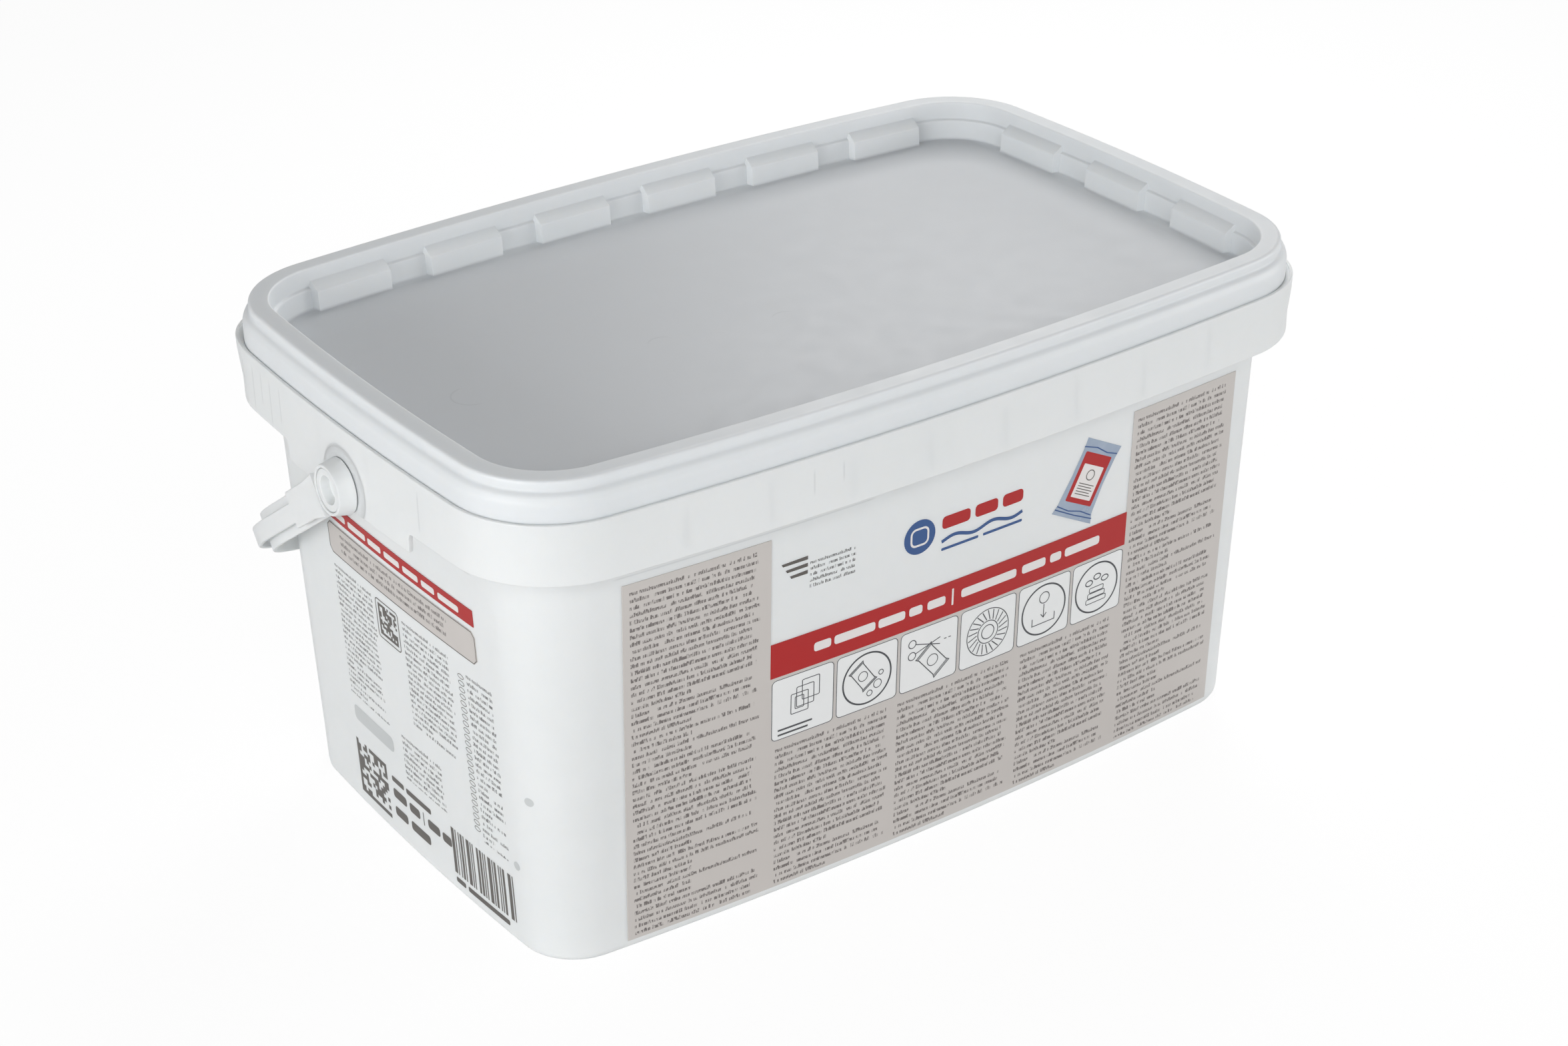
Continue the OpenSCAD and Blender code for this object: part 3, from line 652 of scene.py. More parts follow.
ring = stations(lug_edges(long_lugs), lug_edges(end_lugs), step=6.0)
lug = np.maximum(lug_share(ring["long_s"], long_lugs), lug_share(ring["end_s"], end_lugs))
wall_in = PLUG_LOW_O - LID_T


def blend(plain, raised):
    """A value of the inner wall: plain beside a lug and raised on it."""
    return plain + (raised - plain) * lug


inner_skirt = SKIRT_OUT - LID_T
hook = -NECK_IN + BEAD_OUT + 0.3
roof_z = TOTAL_H - LID_T
section = rounded([
    (PLUG_LOW_O - 20, PANEL_Z - LID_T), (PLUG_LOW_O, PANEL_Z - LID_T, 0.6),
    (PLUG_LOW_O + WALL_LEAN, LEDGE_Z - LID_T, 0.4), (PLUG_O - WALL_LEAN, LEDGE_Z - LID_T + 0.6, 0.4),
    (PLUG_O, roof_z, 0.6), (-LID_T, roof_z, 0.6), (-LID_T, SHOULDER_Z + 2.4, 0.4), (hook, SHOULDER_Z, 0.5),
    (hook + 0.6, SHOULDER_Z - 1.0, 0.3), (inner_skirt, SHOULDER_Z - 1.8, 0.3), (inner_skirt, LOW_Z, 0.3),
    (SKIRT_OUT, LOW_Z, 0.4), (SKIRT_OUT, SHOULDER_Z, 1.2), (SKIRT_OUT * 0.62, SHOULDER_Z + 2.5, 1.2),
    (0, SHOULDER_Z + 3.9, 0.7), (0, TOTAL_H, 1.5), (RING_IN, TOTAL_H, 0.7),
    (blend(RING_IN - WALL_LEAN, RING_IN - 0.45), blend(LEDGE_Z + 0.3, LEDGE_Z + LUG_RISE - 0.4), 0.35),
    (blend(RING_IN - WALL_LEAN - LEDGE_W, wall_in - LUG_OUT + WALL_LEAN),
     blend(LEDGE_Z - 0.3, LEDGE_Z - 0.6), 0.5),
    (blend(wall_in, wall_in - LUG_OUT), PANEL_Z, 0.8), (wall_in - LUG_OUT - 5, PANEL_Z),
    (wall_in - LUG_OUT - 25, PANEL_Z)], ring["n"])
print("lid section:", len(section), "rows of", ring["n"], "points")
piece("lid_shell", [carry(ring, section)], lid_plastic, "lid", ["lid"])

# %% [markdown]
# ## The handle
#
# The handle is a bail of H section: an outer band, a web and a taller inner wall. It is swept along its
# own plane, from one hub round two corners to the other, and then turned to where it hangs.

# %% The handle's path
HANG, BAIL_W, BAIL_H, BAIL_T, BAIL_R = math.radians(35), 6.6, 16.0, 1.8, 78.0
GAP = 0.5  # between the hanging bail and the wall behind it
wall_y = HALF_W - FOOT_IN + LEAN * (PIVOT_Z - FOOT_ROUND - BAIL_H / 2 * math.cos(HANG))
hang_r = (wall_y + BAIL_H / 2 * math.sin(HANG) + GAP) / (math.cos(HANG) + LEAN * math.sin(HANG))
clear_r = math.hypot(HALF_W + COLLAR_OUT, LIP_Z - PIVOT_Z) + 2
REACH = max(hang_r, clear_r) + BAIL_W
straight, corner_x = REACH - BAIL_R, FACE_X - BAIL_R
arm_v = np.array([9.9, 14, 20.7, 26, 33, 39.4, 39.9, 40.0, 40.4, 45, 52, 61, straight])
turn = np.linspace(0, math.pi / 2, 22)[1:]
half_path = [(-FACE_X, v, 1, 0) for v in arm_v]
half_path += [(-corner_x - BAIL_R * math.cos(a), straight + BAIL_R * math.sin(a), math.cos(a), -math.sin(a))
              for a in turn]
grip = [(x, REACH, 0, -1) for x in np.linspace(-corner_x, corner_x, 25)[1:-1]]
path = np.array(half_path + grip + [(-x, v, -i, j) for x, v, i, j in half_path[::-1]])
v = np.where(np.abs(path[:, 0]) > FACE_X - 0.01, path[:, 1], 999)
band_top = np.interp(v, [9.9, 20.7, 39.4, 39.9, 40.0], [9.1, 8.0, 8.0, 7.6, 3.5])
band_foot = np.interp(v, [9.9, 20.7, 39.4, 39.9, 40.0], [-8.6, -7.0, -7.0, -6.6, -4.5])
print("handle reach:", round(REACH, 2), "path points:", len(path))


# %% The handle's mesh
def in_plane(x, out, up):
    """A point of the handle's own plane, hung at its angle from the pivots."""
    return np.column_stack([x, out * math.cos(HANG) + up * math.sin(HANG),
                            PIVOT_Z - out * math.sin(HANG) + up * math.cos(HANG)])


h, w, top = BAIL_T, BAIL_W, BAIL_H / 2
profile = rounded([
    (0, band_foot, 0.5), (0, band_top, 0.5), (h, band_top, 0.4), (h, 1, 0.5), (w - h, 1, 0.5),
    (w - h, top, 0.4), (w, top, 0.5), (w, -top, 0.5), (w - h, -top, 0.4), (w - h, -1, 0.5), (h, -1, 0.5),
    (h, band_foot, 0.4)], len(path), steps=3, loop=True)
x, y, to_x, to_y = path.T
verts = np.concatenate([in_plane(x + p[:, 0] * to_x, y + p[:, 0] * to_y, p[:, 1]) for p in profile])
n = len(path)
faces = weave(len(profile), n, round_rows=True, round_cols=False)
faces += [[i * n for i in range(len(profile))], [i * n + n - 1 for i in range(len(profile))][::-1]]
HUB_X, HUB_R = COLLAR_X + 0.75, 8.08
HUB = [(HUB_R, HUB_X), (11.5, HUB_X), (10.1, FACE_X), (8.9, FACE_X), (8.9, FACE_X - 1.55),
       (HUB_R, FACE_X - 1.6)]
handle_parts = [(verts, faces)] + [lathe(HUB, PIVOT_Z, side) for side in (1, -1)]
piece("handle_bail", handle_parts, handle_plastic, "handle", ["handle"])

# %% [markdown]
# ## The printed films
#
# The label's fields of colour are thin films that lie on the leaning, bowed wall. A film is a grid of
# columns and rows between two offsets from the wall, with round or cut corners where it has them.

# %% Films on the wall
def on_wall(side, s, z, out):
    """A point on the front or on the left end, at a distance along it, a height and a distance out."""
    z = np.asarray(z)
    o = np.where(z < 20, LEAN * 0.8 * z - FOOT_IN, wall_o(z)) + out  # the wall is straight up to 20 mm
    if side == "front":
        return np.column_stack([s, -out_at(side, s, o), z])
    return np.column_stack([-out_at(side, s, o), s, z])


def film(side, s0, s1, z0, z1, low=0.05, high=0.3, soft=0.0, cut=0.0):
    """A closed thin film between two distances and two heights, with round or cut corners."""
    marks = np.linspace(0, soft, 6) if soft else np.array([0.0, cut])
    inner_s = np.linspace(s0 + marks[-1], s1 - marks[-1], max(2, math.ceil((s1 - s0) / 6)))
    s = np.unique(np.concatenate([s0 + marks, inner_s, s1 - marks]).round(5))
    near_edge = np.minimum(s - s0, s1 - s)
    if soft:
        inset = soft - np.sqrt(np.maximum(soft ** 2 - np.maximum(soft - near_edge, 0) ** 2, 0))
    else:
        inset = np.maximum(cut - near_edge, 0)
    shares = np.linspace(0, 1, max(2, math.ceil((z1 - z0) / 20)) + 1)
    grid = [(s, z0 + inset + (z1 - z0 - 2 * inset) * k) for k in shares]
    front, back = (np.concatenate([on_wall(side, a, b, out) for a, b in grid]) for out in (high, low))
    m, n = len(grid), len(s)
    faces = weave(m, n, round_cols=False)
    base = m * n
    faces += [tuple(base + i for i in f[::-1]) for f in faces]
    rim = list(range(n)) + [i * n + n - 1 for i in range(1, m)]
    rim += [(m - 1) * n + j for j in range(n - 2, -1, -1)] + [i * n for i in range(m - 2, 0, -1)]
    faces += [(a, base + a, base + b, b) for a, b in zip(rim, rim[1:] + rim[:1])]
    return np.concatenate([front, back]), faces


print("a film's points:", len(film("front", 0, 30, 80, 110)[0]))

# %% The label's fields of colour
LEFT, RIGHT, MID_L, MID_R, FOOT, TOP = -146.0, 157.0, -82.0, 98.0, 4.5, 165.5
BAND_TOP, BAND_FOOT, TILE_TOP, TILE_FOOT, GREY_TOP = 119.0, 103.6, 102.4, 74.4, 73.2
TILE_EDGES = [(-81.4, -52.3), (-51.1, -21.5), (-20.3, 8.6), (9.9, 38.9), (40.2, 68.2), (69.4, 97.4)]
END_BACK, END_FRONT = 48.5, -65.6
greys = [(LEFT, MID_L, FOOT, TOP), (MID_R, RIGHT, FOOT, TOP), (MID_L, MID_R, FOOT, GREY_TOP),
         (MID_L, MID_R, GREY_TOP, BAND_FOOT)]
piece("front_grey_film", [film("front", *box) for box in greys], grey_film, "tub",
      ["front_label_grey"])
piece("front_red_film", [film("front", MID_L, MID_R, BAND_FOOT, BAND_TOP)], red_film, "tub",
      ["front_label_red"])
tiles = [film("front", a, b, TILE_FOOT, TILE_TOP, 0.31, 0.36, soft=2.2) for a, b in TILE_EDGES]
piece("front_tiles_film", tiles, white_film, "tub", ["front_label_tiles"])
piece("end_red_film", [film("end", END_FRONT, END_BACK, 141.5, 148.7)], red_film, "tub",
      ["end_label_red"])
piece("end_grey_film", [film("end", END_FRONT, END_BACK, 124.3, 138.9, cut=2.2)], grey_film, "tub",
      ["end_label_grey"])

# %% [markdown]
# ## Marks on the print
#
# Lines, bars and small pictures are thin closed shapes that lie on the print. They are drawn in
# millimetres along the side and up from the foot. On the left end the distance runs to the right as
# one faces it. The pictures are the lesson's own plain ones, and bars stand in for all words.

# %% Plates and strokes on the print
INK_T = 0.03
ON_WALL, ON_FILM, ON_TILE = 0.02, 0.32, 0.37  # how far out a mark starts
LAYER = 0.04  # from one mark to the mark that lies on it


def on_print(side, points, out):
    """Points of the wall, at distances and heights on the print."""
    p = np.asarray(points, float)
    return on_wall(side, p[:, 0] if side == "front" else -p[:, 0], p[:, 1], out)


def dense(points, closed, step=4.0):
    """The points of a line with long stretches divided, so that they follow the bowed wall."""
    p = np.asarray(points, float)
    q = np.vstack([p, p[:1]]) if closed else p
    out = []
    for a, b in zip(q[:-1], q[1:]):
        k = max(1, math.ceil(np.linalg.norm(b - a) / step))
        out += [a + (b - a) * i / k for i in range(k)]
    return np.array(out if closed else out + [q[-1]])


def plate(side, outline, out=ON_WALL):
    """A small closed plate, in rings around its middle, so that it follows the bowed wall."""
    edge = dense(outline, True, 3.0)
    middle = edge.mean(0)
    count = max(1, math.ceil(np.abs(edge - middle).max() / 4))
    rings = [middle + (edge - middle) * (1 - i / count) for i in range(count)]
    flat = np.concatenate(rings + [middle[None]])
    n, m = len(edge), len(flat)
    last = (count - 1) * n
    faces = weave(count, n) + [(last + i, last + (i + 1) % n, m - 1) for i in range(n)]
    verts = np.concatenate([on_print(side, flat, out + INK_T), on_print(side, flat, out)])
    rim = [(i, (i + 1) % n, m + (i + 1) % n, m + i) for i in range(n)]
    return verts, faces + [tuple(m + i for i in face[::-1]) for face in faces] + rim


def stroke(side, points, width, out=ON_WALL, closed=False):
    """A line of constant width along the points."""
    p = dense(points, closed)
    before, after = p - np.roll(p, 1, 0), np.roll(p, -1, 0) - p
    if not closed:
        before[0], after[-1] = after[0], before[-1]
    before /= np.linalg.norm(before, axis=1)[:, None]
    after /= np.linalg.norm(after, axis=1)[:, None]
    mid = before + after
    mid /= np.linalg.norm(mid, axis=1)[:, None]
    half = width / 2 / np.maximum((mid * after).sum(1), 0.5)[:, None]
    off = np.column_stack([-mid[:, 1], mid[:, 0]]) * half
    corners = [(1, out + INK_T), (-1, out + INK_T), (-1, out), (1, out)]
    rails = [on_print(side, p + k * off, at) for k, at in corners]
    n = len(p)
    faces = weave(4, n, round_rows=True, round_cols=closed)
    if not closed:
        faces += [(0, n, 2 * n, 3 * n), (4 * n - 1, 3 * n - 1, 2 * n - 1, n - 1)]
    return np.concatenate(rails), faces


print("points of a 5 mm square plate:", len(plate("end", [(0, 50), (5, 50), (5, 55), (0, 55)])[0]))


# %% Outlines to draw with
def circle(x, z, r, rz=None, a0=0, a1=360, count=36):
    """Points of a circle, an ellipse or an arc."""
    whole = a1 - a0 == 360
    turn = np.radians(np.linspace(a0, a1, count, endpoint=not whole))
    return np.column_stack([x + r * np.cos(turn), z + (rz or r) * np.sin(turn)])


def box_line(x0, x1, z0, z1, soft):
    """Points of a rectangle with round corners."""
    corners = [(x1 - soft, z1 - soft, 0), (x0 + soft, z1 - soft, 90), (x0 + soft, z0 + soft, 180),
               (x1 - soft, z0 + soft, 270)]
    return np.concatenate([circle(x, z, soft, a0=a, a1=a + 90.0, count=5) for x, z, a in corners])


def turned(points, x, z, angle, scale=1.0):
    """Points turned about their own origin and set at a place."""
    c, k = math.cos(math.radians(angle)) * scale, math.sin(math.radians(angle)) * scale
    p = np.asarray(points, float)
    return np.column_stack([x + p[:, 0] * c - p[:, 1] * k, z + p[:, 0] * k + p[:, 1] * c])


print("points of a rounded frame:", len(box_line(0, 10, 0, 10, 1)))

# %% Flat inks
def flat_ink(name, colour, worn, gloss=0.4):
    """A printed ink with a little unevenness in tone and gloss."""
    return moulded_plastic(name, colour, worn, gloss, 1.4, 0.05, scatter=0.0)


dark_ink = flat_ink("dark_ink", srgb(72, 74, 78), srgb(80, 82, 86))
blue_ink = flat_ink("blue_ink", srgb(52, 84, 138), srgb(56, 90, 144))
pale_ink = flat_ink("pale_ink", srgb(205, 208, 208), srgb(198, 202, 203))
bar_white = flat_ink("bar_white", srgb(236, 232, 230), srgb(230, 226, 225))
code_ink = flat_ink("code_ink", srgb(92, 88, 84), srgb(100, 96, 92))
film_ink = flat_ink("film_ink", srgb(176, 188, 204), srgb(128, 146, 172), 0.25)
print("inks:", ", ".join(m.name for m in bpy.data.materials if m.name.endswith("ink")))

# %% [markdown]
# ### Pictures on the tiles
#
# Each picture is a list of lines about the middle of its tile: frames one behind the other, a wrapped
# tablet with bubbles, a wrapped tablet with scissors, a fan wheel, a tablet over a tray, and three
# tablets over a stack.

# %% Lines for the pictures
HAIR, THIN, LINE, BOLD, BAR = 0.25, 0.35, 0.4, 0.75, 0.8
MID_Z = (TILE_TOP + TILE_FOOT) / 2
SACHET = [(-4.2, -6.4), (4.2, -6.4), (3.6, -5), (3.6, 5), (4.2, 6.4), (-4.2, 6.4), (-3.6, 5), (-3.6, -5)]
BADGE = [(circle(0, 0, 11.6, count=64), BOLD, True)]


def open_line(*points, width=LINE):
    """A line with two ends, as an entry of a picture."""
    return points, width, False


def sachet(x, z, angle, scale):
    """A wrapped tablet seen from above: the wrap, its two crimped seals and the round tablet."""
    seals = [open_line((-3.7, k), (3.7, k), width=HAIR) for k in (-5.9, -5.5, 5.5, 5.9)]
    shapes = [(SACHET, LINE, True), *seals, (circle(0, 0, 2.3), THIN, True)]
    return [(turned(p, x, z, angle, scale), width, closed) for p, width, closed in shapes]


print("lines in a wrapped tablet:", len(sachet(0, 0, 0, 1)))

# %% The six pictures
frames = [(box_line(-5.5 + k, 2.5 + k, -4 + k, 5 + k, 0.5), THIN, True) for k in (0, 2.6, 5.2)]
frames += [(box_line(-3.6, 0.4, -2, 3.4, 0.4), THIN, True),
           open_line((-11.5, -9.6), (4.5, -9.6), width=BAR),
           open_line((-11.5, -11.8), (2.5, -11.8), width=BAR)]
bubbles = [(circle(x, z, r, count=20), THIN, True)
           for x, z, r in ((5.2, -4.2, 1.9), (1.4, -7.4, 1.3), (6.8, 0.6, 1.1))]
scissors = []
for k in (-1, 1):
    scissors += [(circle(-8.5, 5 + 2.8 * k, 1.8, count=20), LINE, True),
                 open_line((-6.9, 5 + 2.2 * k), (5.5, 5 - 1.6 * k))]
scissors += [open_line((7.5, 5), (8.7, 5)), open_line((9.7, 5), (10.9, 5))]
fan = [(circle(0, 0, r, count=48), LINE, True) for r in (3.2, 5.2, 10.8)]
fan += [(turned([(5.8, 0), (10.1, 1.7)], 0, 0, i * 360 / 22), 0.45, False) for i in range(22)]
tray = [open_line((-6, -3), (-6, -6.5), (6, -6.5), (6, -3)), open_line((0, 2.5), (0, -3.6)),
        open_line((-1.5, -2), (0, -3.8), (1.5, -2)), (circle(0, 5.6, 2.6, count=28), LINE, True)]
stack = [(circle(x, z, 1.9, 1.3, count=20), 0.5, True) for x, z in ((-4.4, 3.2), (0, 5.2), (4.4, 3.2))]
stack += [(box_line(-5.5 + k * 0.8, 5.5 - k * 0.8, -7 + k * 2.6, -4.8 + k * 2.6, 0.6), THIN, True)
          for k in range(3)]
pictures = [frames, BADGE + sachet(-2, 1.5, 35, 0.95) + bubbles, sachet(2, -3, 40, 1.15) + scissors, fan,
            BADGE + tray, BADGE + stack]
lines = [stroke("front", box_line(a + 0.2, b - 0.2, TILE_FOOT + 0.2, TILE_TOP - 0.2, 2.0), 0.3, ON_TILE, True)
         for a, b in TILE_EDGES]
for (a, b), picture in zip(TILE_EDGES, pictures):
    lines += [stroke("front", turned(points, (a + b) / 2, MID_Z, 0), width, ON_TILE, closed)
              for points, width, closed in picture]
piece("tile_pictures", lines, dark_ink, "tub")

# %% [markdown]
# ### Bars, the plain badge and the sealed pack
#
# White bars stand for the words on the red bands. Over the front band lie three short grey stripes, a
# round badge with a tablet on it, three red bars with blue lines under them, and a sealed pack.

# %% Bars in place of words
def bars(side, z, tall, spans, out=ON_WALL):
    """A row of bars with round ends."""
    return [plate(side, box_line(a, b, z, z + tall, tall * 0.3), out) for a, b in spans]


TITLE = [(-62, -54), (-52.5, -33), (-31.5, -18.5), (-16.5, -10), (-7.5, 1.5), (9.5, 38), (41, 53.5), (56, 62),
         (64, 83)]
NOTICE = [(-40, -31), (-28.5, -14), (-12, -1.5), (1, 13), (15.5, 27), (29.5, 39), (41.5, 56)]
divider = plate("front", box_line(4.7, 5.6, 107.8, 115.4, 0.3), ON_FILM)
on_red = bars("front", 109.5, 4.0, TITLE, ON_FILM) + [divider] + bars("end", 143.4, 2.8, NOTICE, ON_FILM)
piece("title_bars", on_red, bar_white, "tub")

# %% The badge and the stripes
wave = [(x, 139.2 + 1.1 * math.sin(x / 3.1)) for x in np.linspace(-1.5, 39.5, 42)]
piece("blue_marks", [plate("front", circle(-12.5, 144.6, 7.6, count=48)), stroke("front", wave, 1.5),
                     *bars("front", 134.6, 1.2, [(-1.5, 17), (19.5, 39.5)])], blue_ink, "tub")
tablet = stroke("front", box_line(-16.6, -8.4, 140.9, 148.3, 2.2), 0.9, ON_WALL + LAYER, True)
piece("white_marks", [tablet], bar_white, "tub")
piece("red_marks", bars("front", 144.2, 5.6, [(-1.5, 12.5), (15, 26.5), (29, 39.5)]), red_film, "tub")
stripes = [plate("front", [(-76.7 + 1.9 * i, 151.9 - 3.1 * i), (-65.4, 151.9 - 3.1 * i),
                           (-65.4, 153.5 - 3.1 * i), (-77.3 + 1.9 * i, 153.1 - 3.1 * i)]) for i in range(3)]
piece("stripe_marks", stripes, code_ink, "tub")

# %% The sealed pack
PACK_AT = (74.6, 141.6, -27.5)
PACK = [(-12.6, -17), (12.2, -17.4), (10.2, -13), (9.4, 0), (10.0, 12.4), (10.8, 17), (-10.6, 17.2),
        (-10.2, 12), (-10.4, 0), (-11.4, -13)]
FOLDS = [[(-11.5, -13.4), (-4, -14.2), (3, -13.2), (10, -13.8)],
         [(-10.5, 13.2), (-3, 14.1), (4, 13.0), (10, 13.6)], [(-11.9, -15), (0, -15.4), (11.4, -15.2)]]


def on_pack(points, layer, width=None, closed=False):
    """A plate or, with a width, a line on the tilted pack; each layer lies over the one before."""
    points, out = turned(points, *PACK_AT), ON_WALL + LAYER * layer
    return stroke("front", points, width, out, closed) if width else plate("front", points, out)


piece("pack_picture", [on_pack(PACK, 0)], film_ink, "tub")
piece("pack_frame", [on_pack(box_line(-8.3, 7.8, -10.4, 11.6, 0.6), 1)], red_film, "tub")
piece("pack_field", [on_pack(box_line(-6.3, 5.8, -8.2, 6.6, 0.4), 2)], bar_white, "tub")
rows = [[(-4.8, -1.8 - 1.15 * k), (4.4 - k % 2, -1.8 - 1.15 * k)] for k in range(5)]
piece("pack_print", [on_pack(circle(-0.2, 2.4, 2.2, count=24), 3, LINE, True)]
      + [on_pack(row, 3, THIN) for row in rows], code_ink, "tub")
piece("pack_folds", [on_pack(fold, 1, 0.5) for fold in FOLDS], blue_ink, "tub")

# %% [markdown]
# ### Codes on the left end
#
# Squares at random stand in for the two square codes, and bars of made-up widths for the bar code. A row
# of small ovals, a line round the notice, two dots and a pale strip complete the end.

# %% Squares in place of codes
FILLED = 0.48


def rectangle(x, z, wide, tall):
    """A plate of ink on the left end, from its lower left corner."""
    return plate("end", [(x, z), (x + wide, z), (x + wide, z + tall), (x, z + tall)])


def lattice(x, z, cell, count, chance):
    """Squares at random beside two full sides: it stands in for a code and says nothing."""
    cells = [rectangle(x, z, cell * count, cell), rectangle(x, z + cell, cell, cell * (count - 1))]
    for i in range(1, count):
        for j in range(1, count):
            if chance.random() < FILLED:
                cells.append(rectangle(x + i * cell, z + j * cell, cell, cell))
    return cells


chance = np.random.default_rng(11)
codes = lattice(-10.6, 103.4, 1.2, 12, chance) + lattice(-49.0, 8.0, 1.9, 14, chance)
codes.append(stroke("end", box_line(-12.4, 5.4, 101.6, 119.4, 1.6), 0.5, closed=True))
print("squares and frames:", len(codes))

# %% Bar code, bars and outlines
BAR_W, SPACE_W, BAR_FROM = 0.7, 0.8, 29.5
WIDE = [3, 1, 1, 2, 1, 3, 1, 1, 2, 2, 1, 1, 3, 1, 2, 1, 1, 2, 3, 1]
SPACES = [1, 2, 1, 1, 2, 1, 1, 3, 1, 1] * 2
u = BAR_FROM
for wide, space in zip(WIDE, SPACES):
    codes.append(rectangle(u, 10.6, BAR_W * wide, 22.0))
    u += BAR_W * wide + SPACE_W * space
END_BARS = [(6.2, 2.4, [(30, 37), (39, 69)]), (29.4, 2.6, [(-18, -8), (-6, 14)]),
            (21.6, 4.4, [(-18, -7), (-4.5, 4), (10.5, 20), (22, 29)]), (12.6, 4.4, [(-18, -7.5), (-4.5, 11)])]
for z, tall, spans in END_BARS:
    codes += bars("end", z, tall, spans)
codes.append(stroke("end", [(7, 20.6), (7, 27)], 0.6))
codes += [stroke("end", circle(51.6, 113.4 - 3.05 * i, 2.0, 0.95, count=16), 0.28, closed=True)
          for i in range(24)]
a, b = 0.3 - END_BACK, -END_FRONT - 0.3
notice = [(a, 126.6), (a + 2, 124.6), (b - 2, 124.6), (b, 126.6), (b, 136.6), (b - 2, 138.6), (a + 2, 138.6),
          (a, 136.6)]
codes.append(stroke("end", notice, THIN, ON_FILM, True))
piece("end_codes", codes, code_ink, "tub")
dots = [plate("end", circle(s, z, 1.9, count=24)) for s, z in ((88.4, 74.0), (78.4, 40.0))]
piece("end_dots", dots + [plate("end", box_line(-46.5, -12.5, 45.2, 52.4, 2.2))], pale_ink, "tub")

# %% [markdown]
# ## The wrapped tablets
#
# The tub holds 130 tablets, each in its own flow wrap: a pillow with a flat crimped seal at each end.
# They lie in layers, and all of them are one mesh.

# %% One wrap
WRAP = (61.5, 46.0, 22.2)
SEAL_T, SQUARENESS, CRIMPS = 0.03, 2 / 4.5, 5


def wrap_mesh():
    """One flow wrap about its middle: a soft box over the tablet that runs out to flat seals."""
    t = np.concatenate([[-1, -0.93, -0.86], np.linspace(-0.8, 0.8, 13), [0.86, 0.93, 1]])
    turn = np.linspace(0, 2 * math.pi, 20, endpoint=False)
    c, s = np.cos(turn), np.sin(turn)
    rows = []
    for k in t:
        full = np.clip((0.84 - abs(k)) / 0.2, 0, 1)
        rise = SEAL_T + (1 - SEAL_T) * math.sin(full * math.pi / 2) ** 0.8
        y = np.sign(c) * np.abs(c) ** SQUARENESS * WRAP[1] / 2 * (1 - 0.05 * rise)
        z = np.sign(s) * np.abs(s) ** SQUARENESS * WRAP[2] / 2 * rise
        z = z * (1 - 0.06 * np.sin(CRIMPS * turn) ** 2 * (1 - rise))
        rows.append(np.column_stack([np.full(len(turn), k * WRAP[0] / 2), y, z]))
    n = len(turn)
    faces = weave(len(rows), n)
    faces += [list(range(n))[::-1], [(len(rows) - 1) * n + j for j in range(n)]]
    return np.concatenate(rows), faces


points, cells = wrap_mesh()
print("one wrap:", len(points), "points")

# %% The wraps in layers
COUNT, COLUMNS, ROWS = 130, 5, 4
STEP = (61.9, 46.4, 22.6)
rng = np.random.default_rng(7)
wraps = []
for i in range(COUNT):
    column, row, layer = i % COLUMNS, i // COLUMNS % ROWS, i // (COLUMNS * ROWS)
    middle = [(column - (COLUMNS - 1) / 2) * STEP[0], (row - (ROWS - 1) / 2) * STEP[1],
              FLOOR_T + 0.4 + layer * STEP[2] + WRAP[2] / 2]
    sign = rng.choice([-1, 1], 3)
    sign[0] = sign[1] * sign[2]
    wraps.append((points * sign * rng.uniform(0.985, 0.999, 3) + middle, cells))
wrap_film = moulded_plastic("wrap_film", srgb(226, 234, 240), srgb(206, 219, 231), 0.22, 0.5, 0.6)
piece("tablet_wraps", wraps, wrap_film, "tub", ["wrapped_tablets"])

# %% [markdown]
# ## Floor, light and camera
#
# A wide pale floor and a white surround. The floor glows a little to the camera, so that it reads as
# white paper and still keeps the tub's shadow. The world is brighter at the horizon than overhead. Soft
# boxes stand in front, at the left and at the right, and one hangs behind at the upper right.

# %% The floor
HALF_FLOOR, GLOW, GLOW_SHARE = 6.0, 1.06, 0.86
corners = [(x * HALF_FLOOR, y * HALF_FLOOR, 0) for x, y in ((-1, -1), (1, -1), (1, 1), (-1, 1))]
mesh = bpy.data.meshes.new("floor")
mesh.from_pydata(corners, [], [(0, 1, 2, 3)])
floor = bpy.data.objects.new("floor", mesh)
bpy.context.scene.collection.objects.link(floor)
paper = bpy.data.materials.new("floor_paper")
paper.use_nodes = True
tree = Tree(paper.node_tree)
shader = paper.node_tree.nodes["Principled BSDF"]
speckle = tree.new("ShaderNodeTexNoise", Scale=40.0, Detail=2.0, Vector=tree.place()).outputs[0]
tones = tree.mix(tree.ramp(speckle, 0.3, 0.7), srgb(246, 246, 246), srgb(243, 243, 243))
tree.put(shader, "Base Color", tones)
shader.inputs["Roughness"].default_value = 0.9
shader.inputs["Specular IOR Level"].default_value = 0.1
glow = tree.new("ShaderNodeEmission", Color=(1, 1, 1, 1), Strength=GLOW).outputs[0]
seen = tree.new("ShaderNodeLightPath").outputs["Is Camera Ray"]
mixed = tree.new("ShaderNodeMixShader", Fac=tree.math("MULTIPLY", seen, GLOW_SHARE))
tree.put(mixed, 1, shader.outputs[0])
tree.put(mixed, 2, glow)
tree.put(paper.node_tree.nodes["Material Output"], "Surface", mixed.outputs[0])
mesh.materials.append(paper)
print("floor:", 2 * HALF_FLOOR, "m wide")

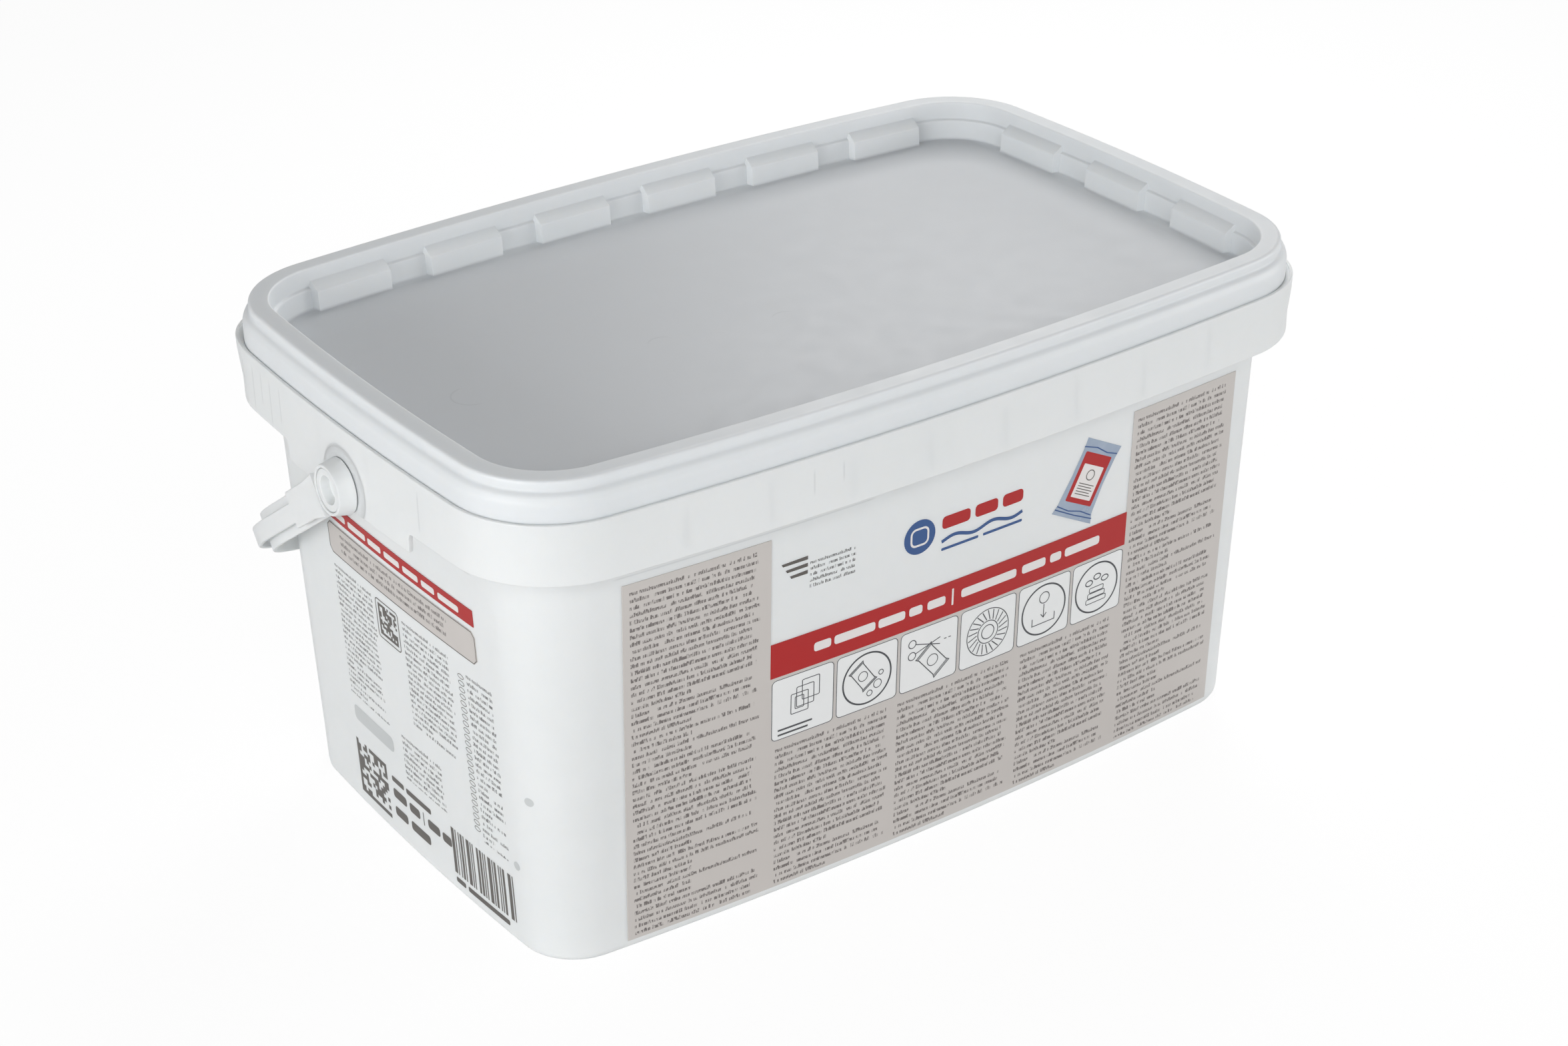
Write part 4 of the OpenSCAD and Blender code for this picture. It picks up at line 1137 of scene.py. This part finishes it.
# %% The world
HORIZON, ZENITH = 0.6, 0.05
world = bpy.data.worlds.new("studio")
bpy.context.scene.world = world
world.use_nodes = True
tree = Tree(world.node_tree)
world.node_tree.nodes.clear()
rays = tree.new("ShaderNodeLightPath").outputs
white = tree.math("MAXIMUM", rays["Is Camera Ray"], rays["Is Transmission Ray"])
up = tree.split(tree.new("ShaderNodeTexCoord").outputs["Generated"])["Z"]
room = tree.new("ShaderNodeBackground", Color=(1, 1, 1, 1),
                Strength=tree.ramp(up, 0.25, 0.75, HORIZON, ZENITH, "SMOOTHSTEP"))
clear = tree.new("ShaderNodeBackground", Color=(1, 1, 1, 1), Strength=1.0)
mixed = tree.new("ShaderNodeMixShader", Fac=white)
tree.put(mixed, 1, room.outputs[0])
tree.put(mixed, 2, clear.outputs[0])
tree.put(tree.new("ShaderNodeOutputWorld"), "Surface", mixed.outputs[0])
print("world light:", HORIZON, "at the horizon,", ZENITH, "overhead")


# %% The soft boxes
def soft_box(name, place, target, size, power):
    """A rectangular area light aimed at a point."""
    data = bpy.data.lights.new(name, "AREA")
    data.shape, data.size, data.size_y, data.energy = "RECTANGLE", size[0], size[1], power
    lamp = bpy.data.objects.new(name, data)
    lamp.location = place
    lamp.rotation_euler = (Vector(target) - Vector(place)).to_track_quat("-Z", "Y").to_euler()
    bpy.context.scene.collection.objects.link(lamp)


soft_box("left", (-2.3, -0.7, 0.45), (-0.2, 0, 0.15), (1.4, 0.8), 24)
soft_box("front", (-1.0, -1.8, 1.5), (0, 0, 0.15), (1.4, 1.0), 13.5)
soft_box("right", (2.1, -1.2, 0.5), (0.2, 0, 0.1), (1.4, 0.9), 18)
soft_box("upper right", (0.6, 0.55, 0.92), (0.0, 0.0, 0.2), (0.5, 0.7), 5)
print("lamps:", ", ".join(light.name for light in bpy.data.lights))

# %% The camera of the photograph
data = bpy.data.cameras.new("camera")
data.lens = 68.641
data.sensor_width = 36
camera = bpy.data.objects.new("camera", data)
camera.location = (-0.64245, -0.91292, 0.69761)
camera.rotation_euler = [math.radians(a) for a in (61.75347, 0.60608, -35.60027)]
bpy.context.scene.collection.objects.link(camera)
scene = bpy.context.scene
scene.camera = camera
scene.view_settings.view_transform = "Standard"
print("camera:", data.lens, "mm at", [round(v, 3) for v in camera.location])
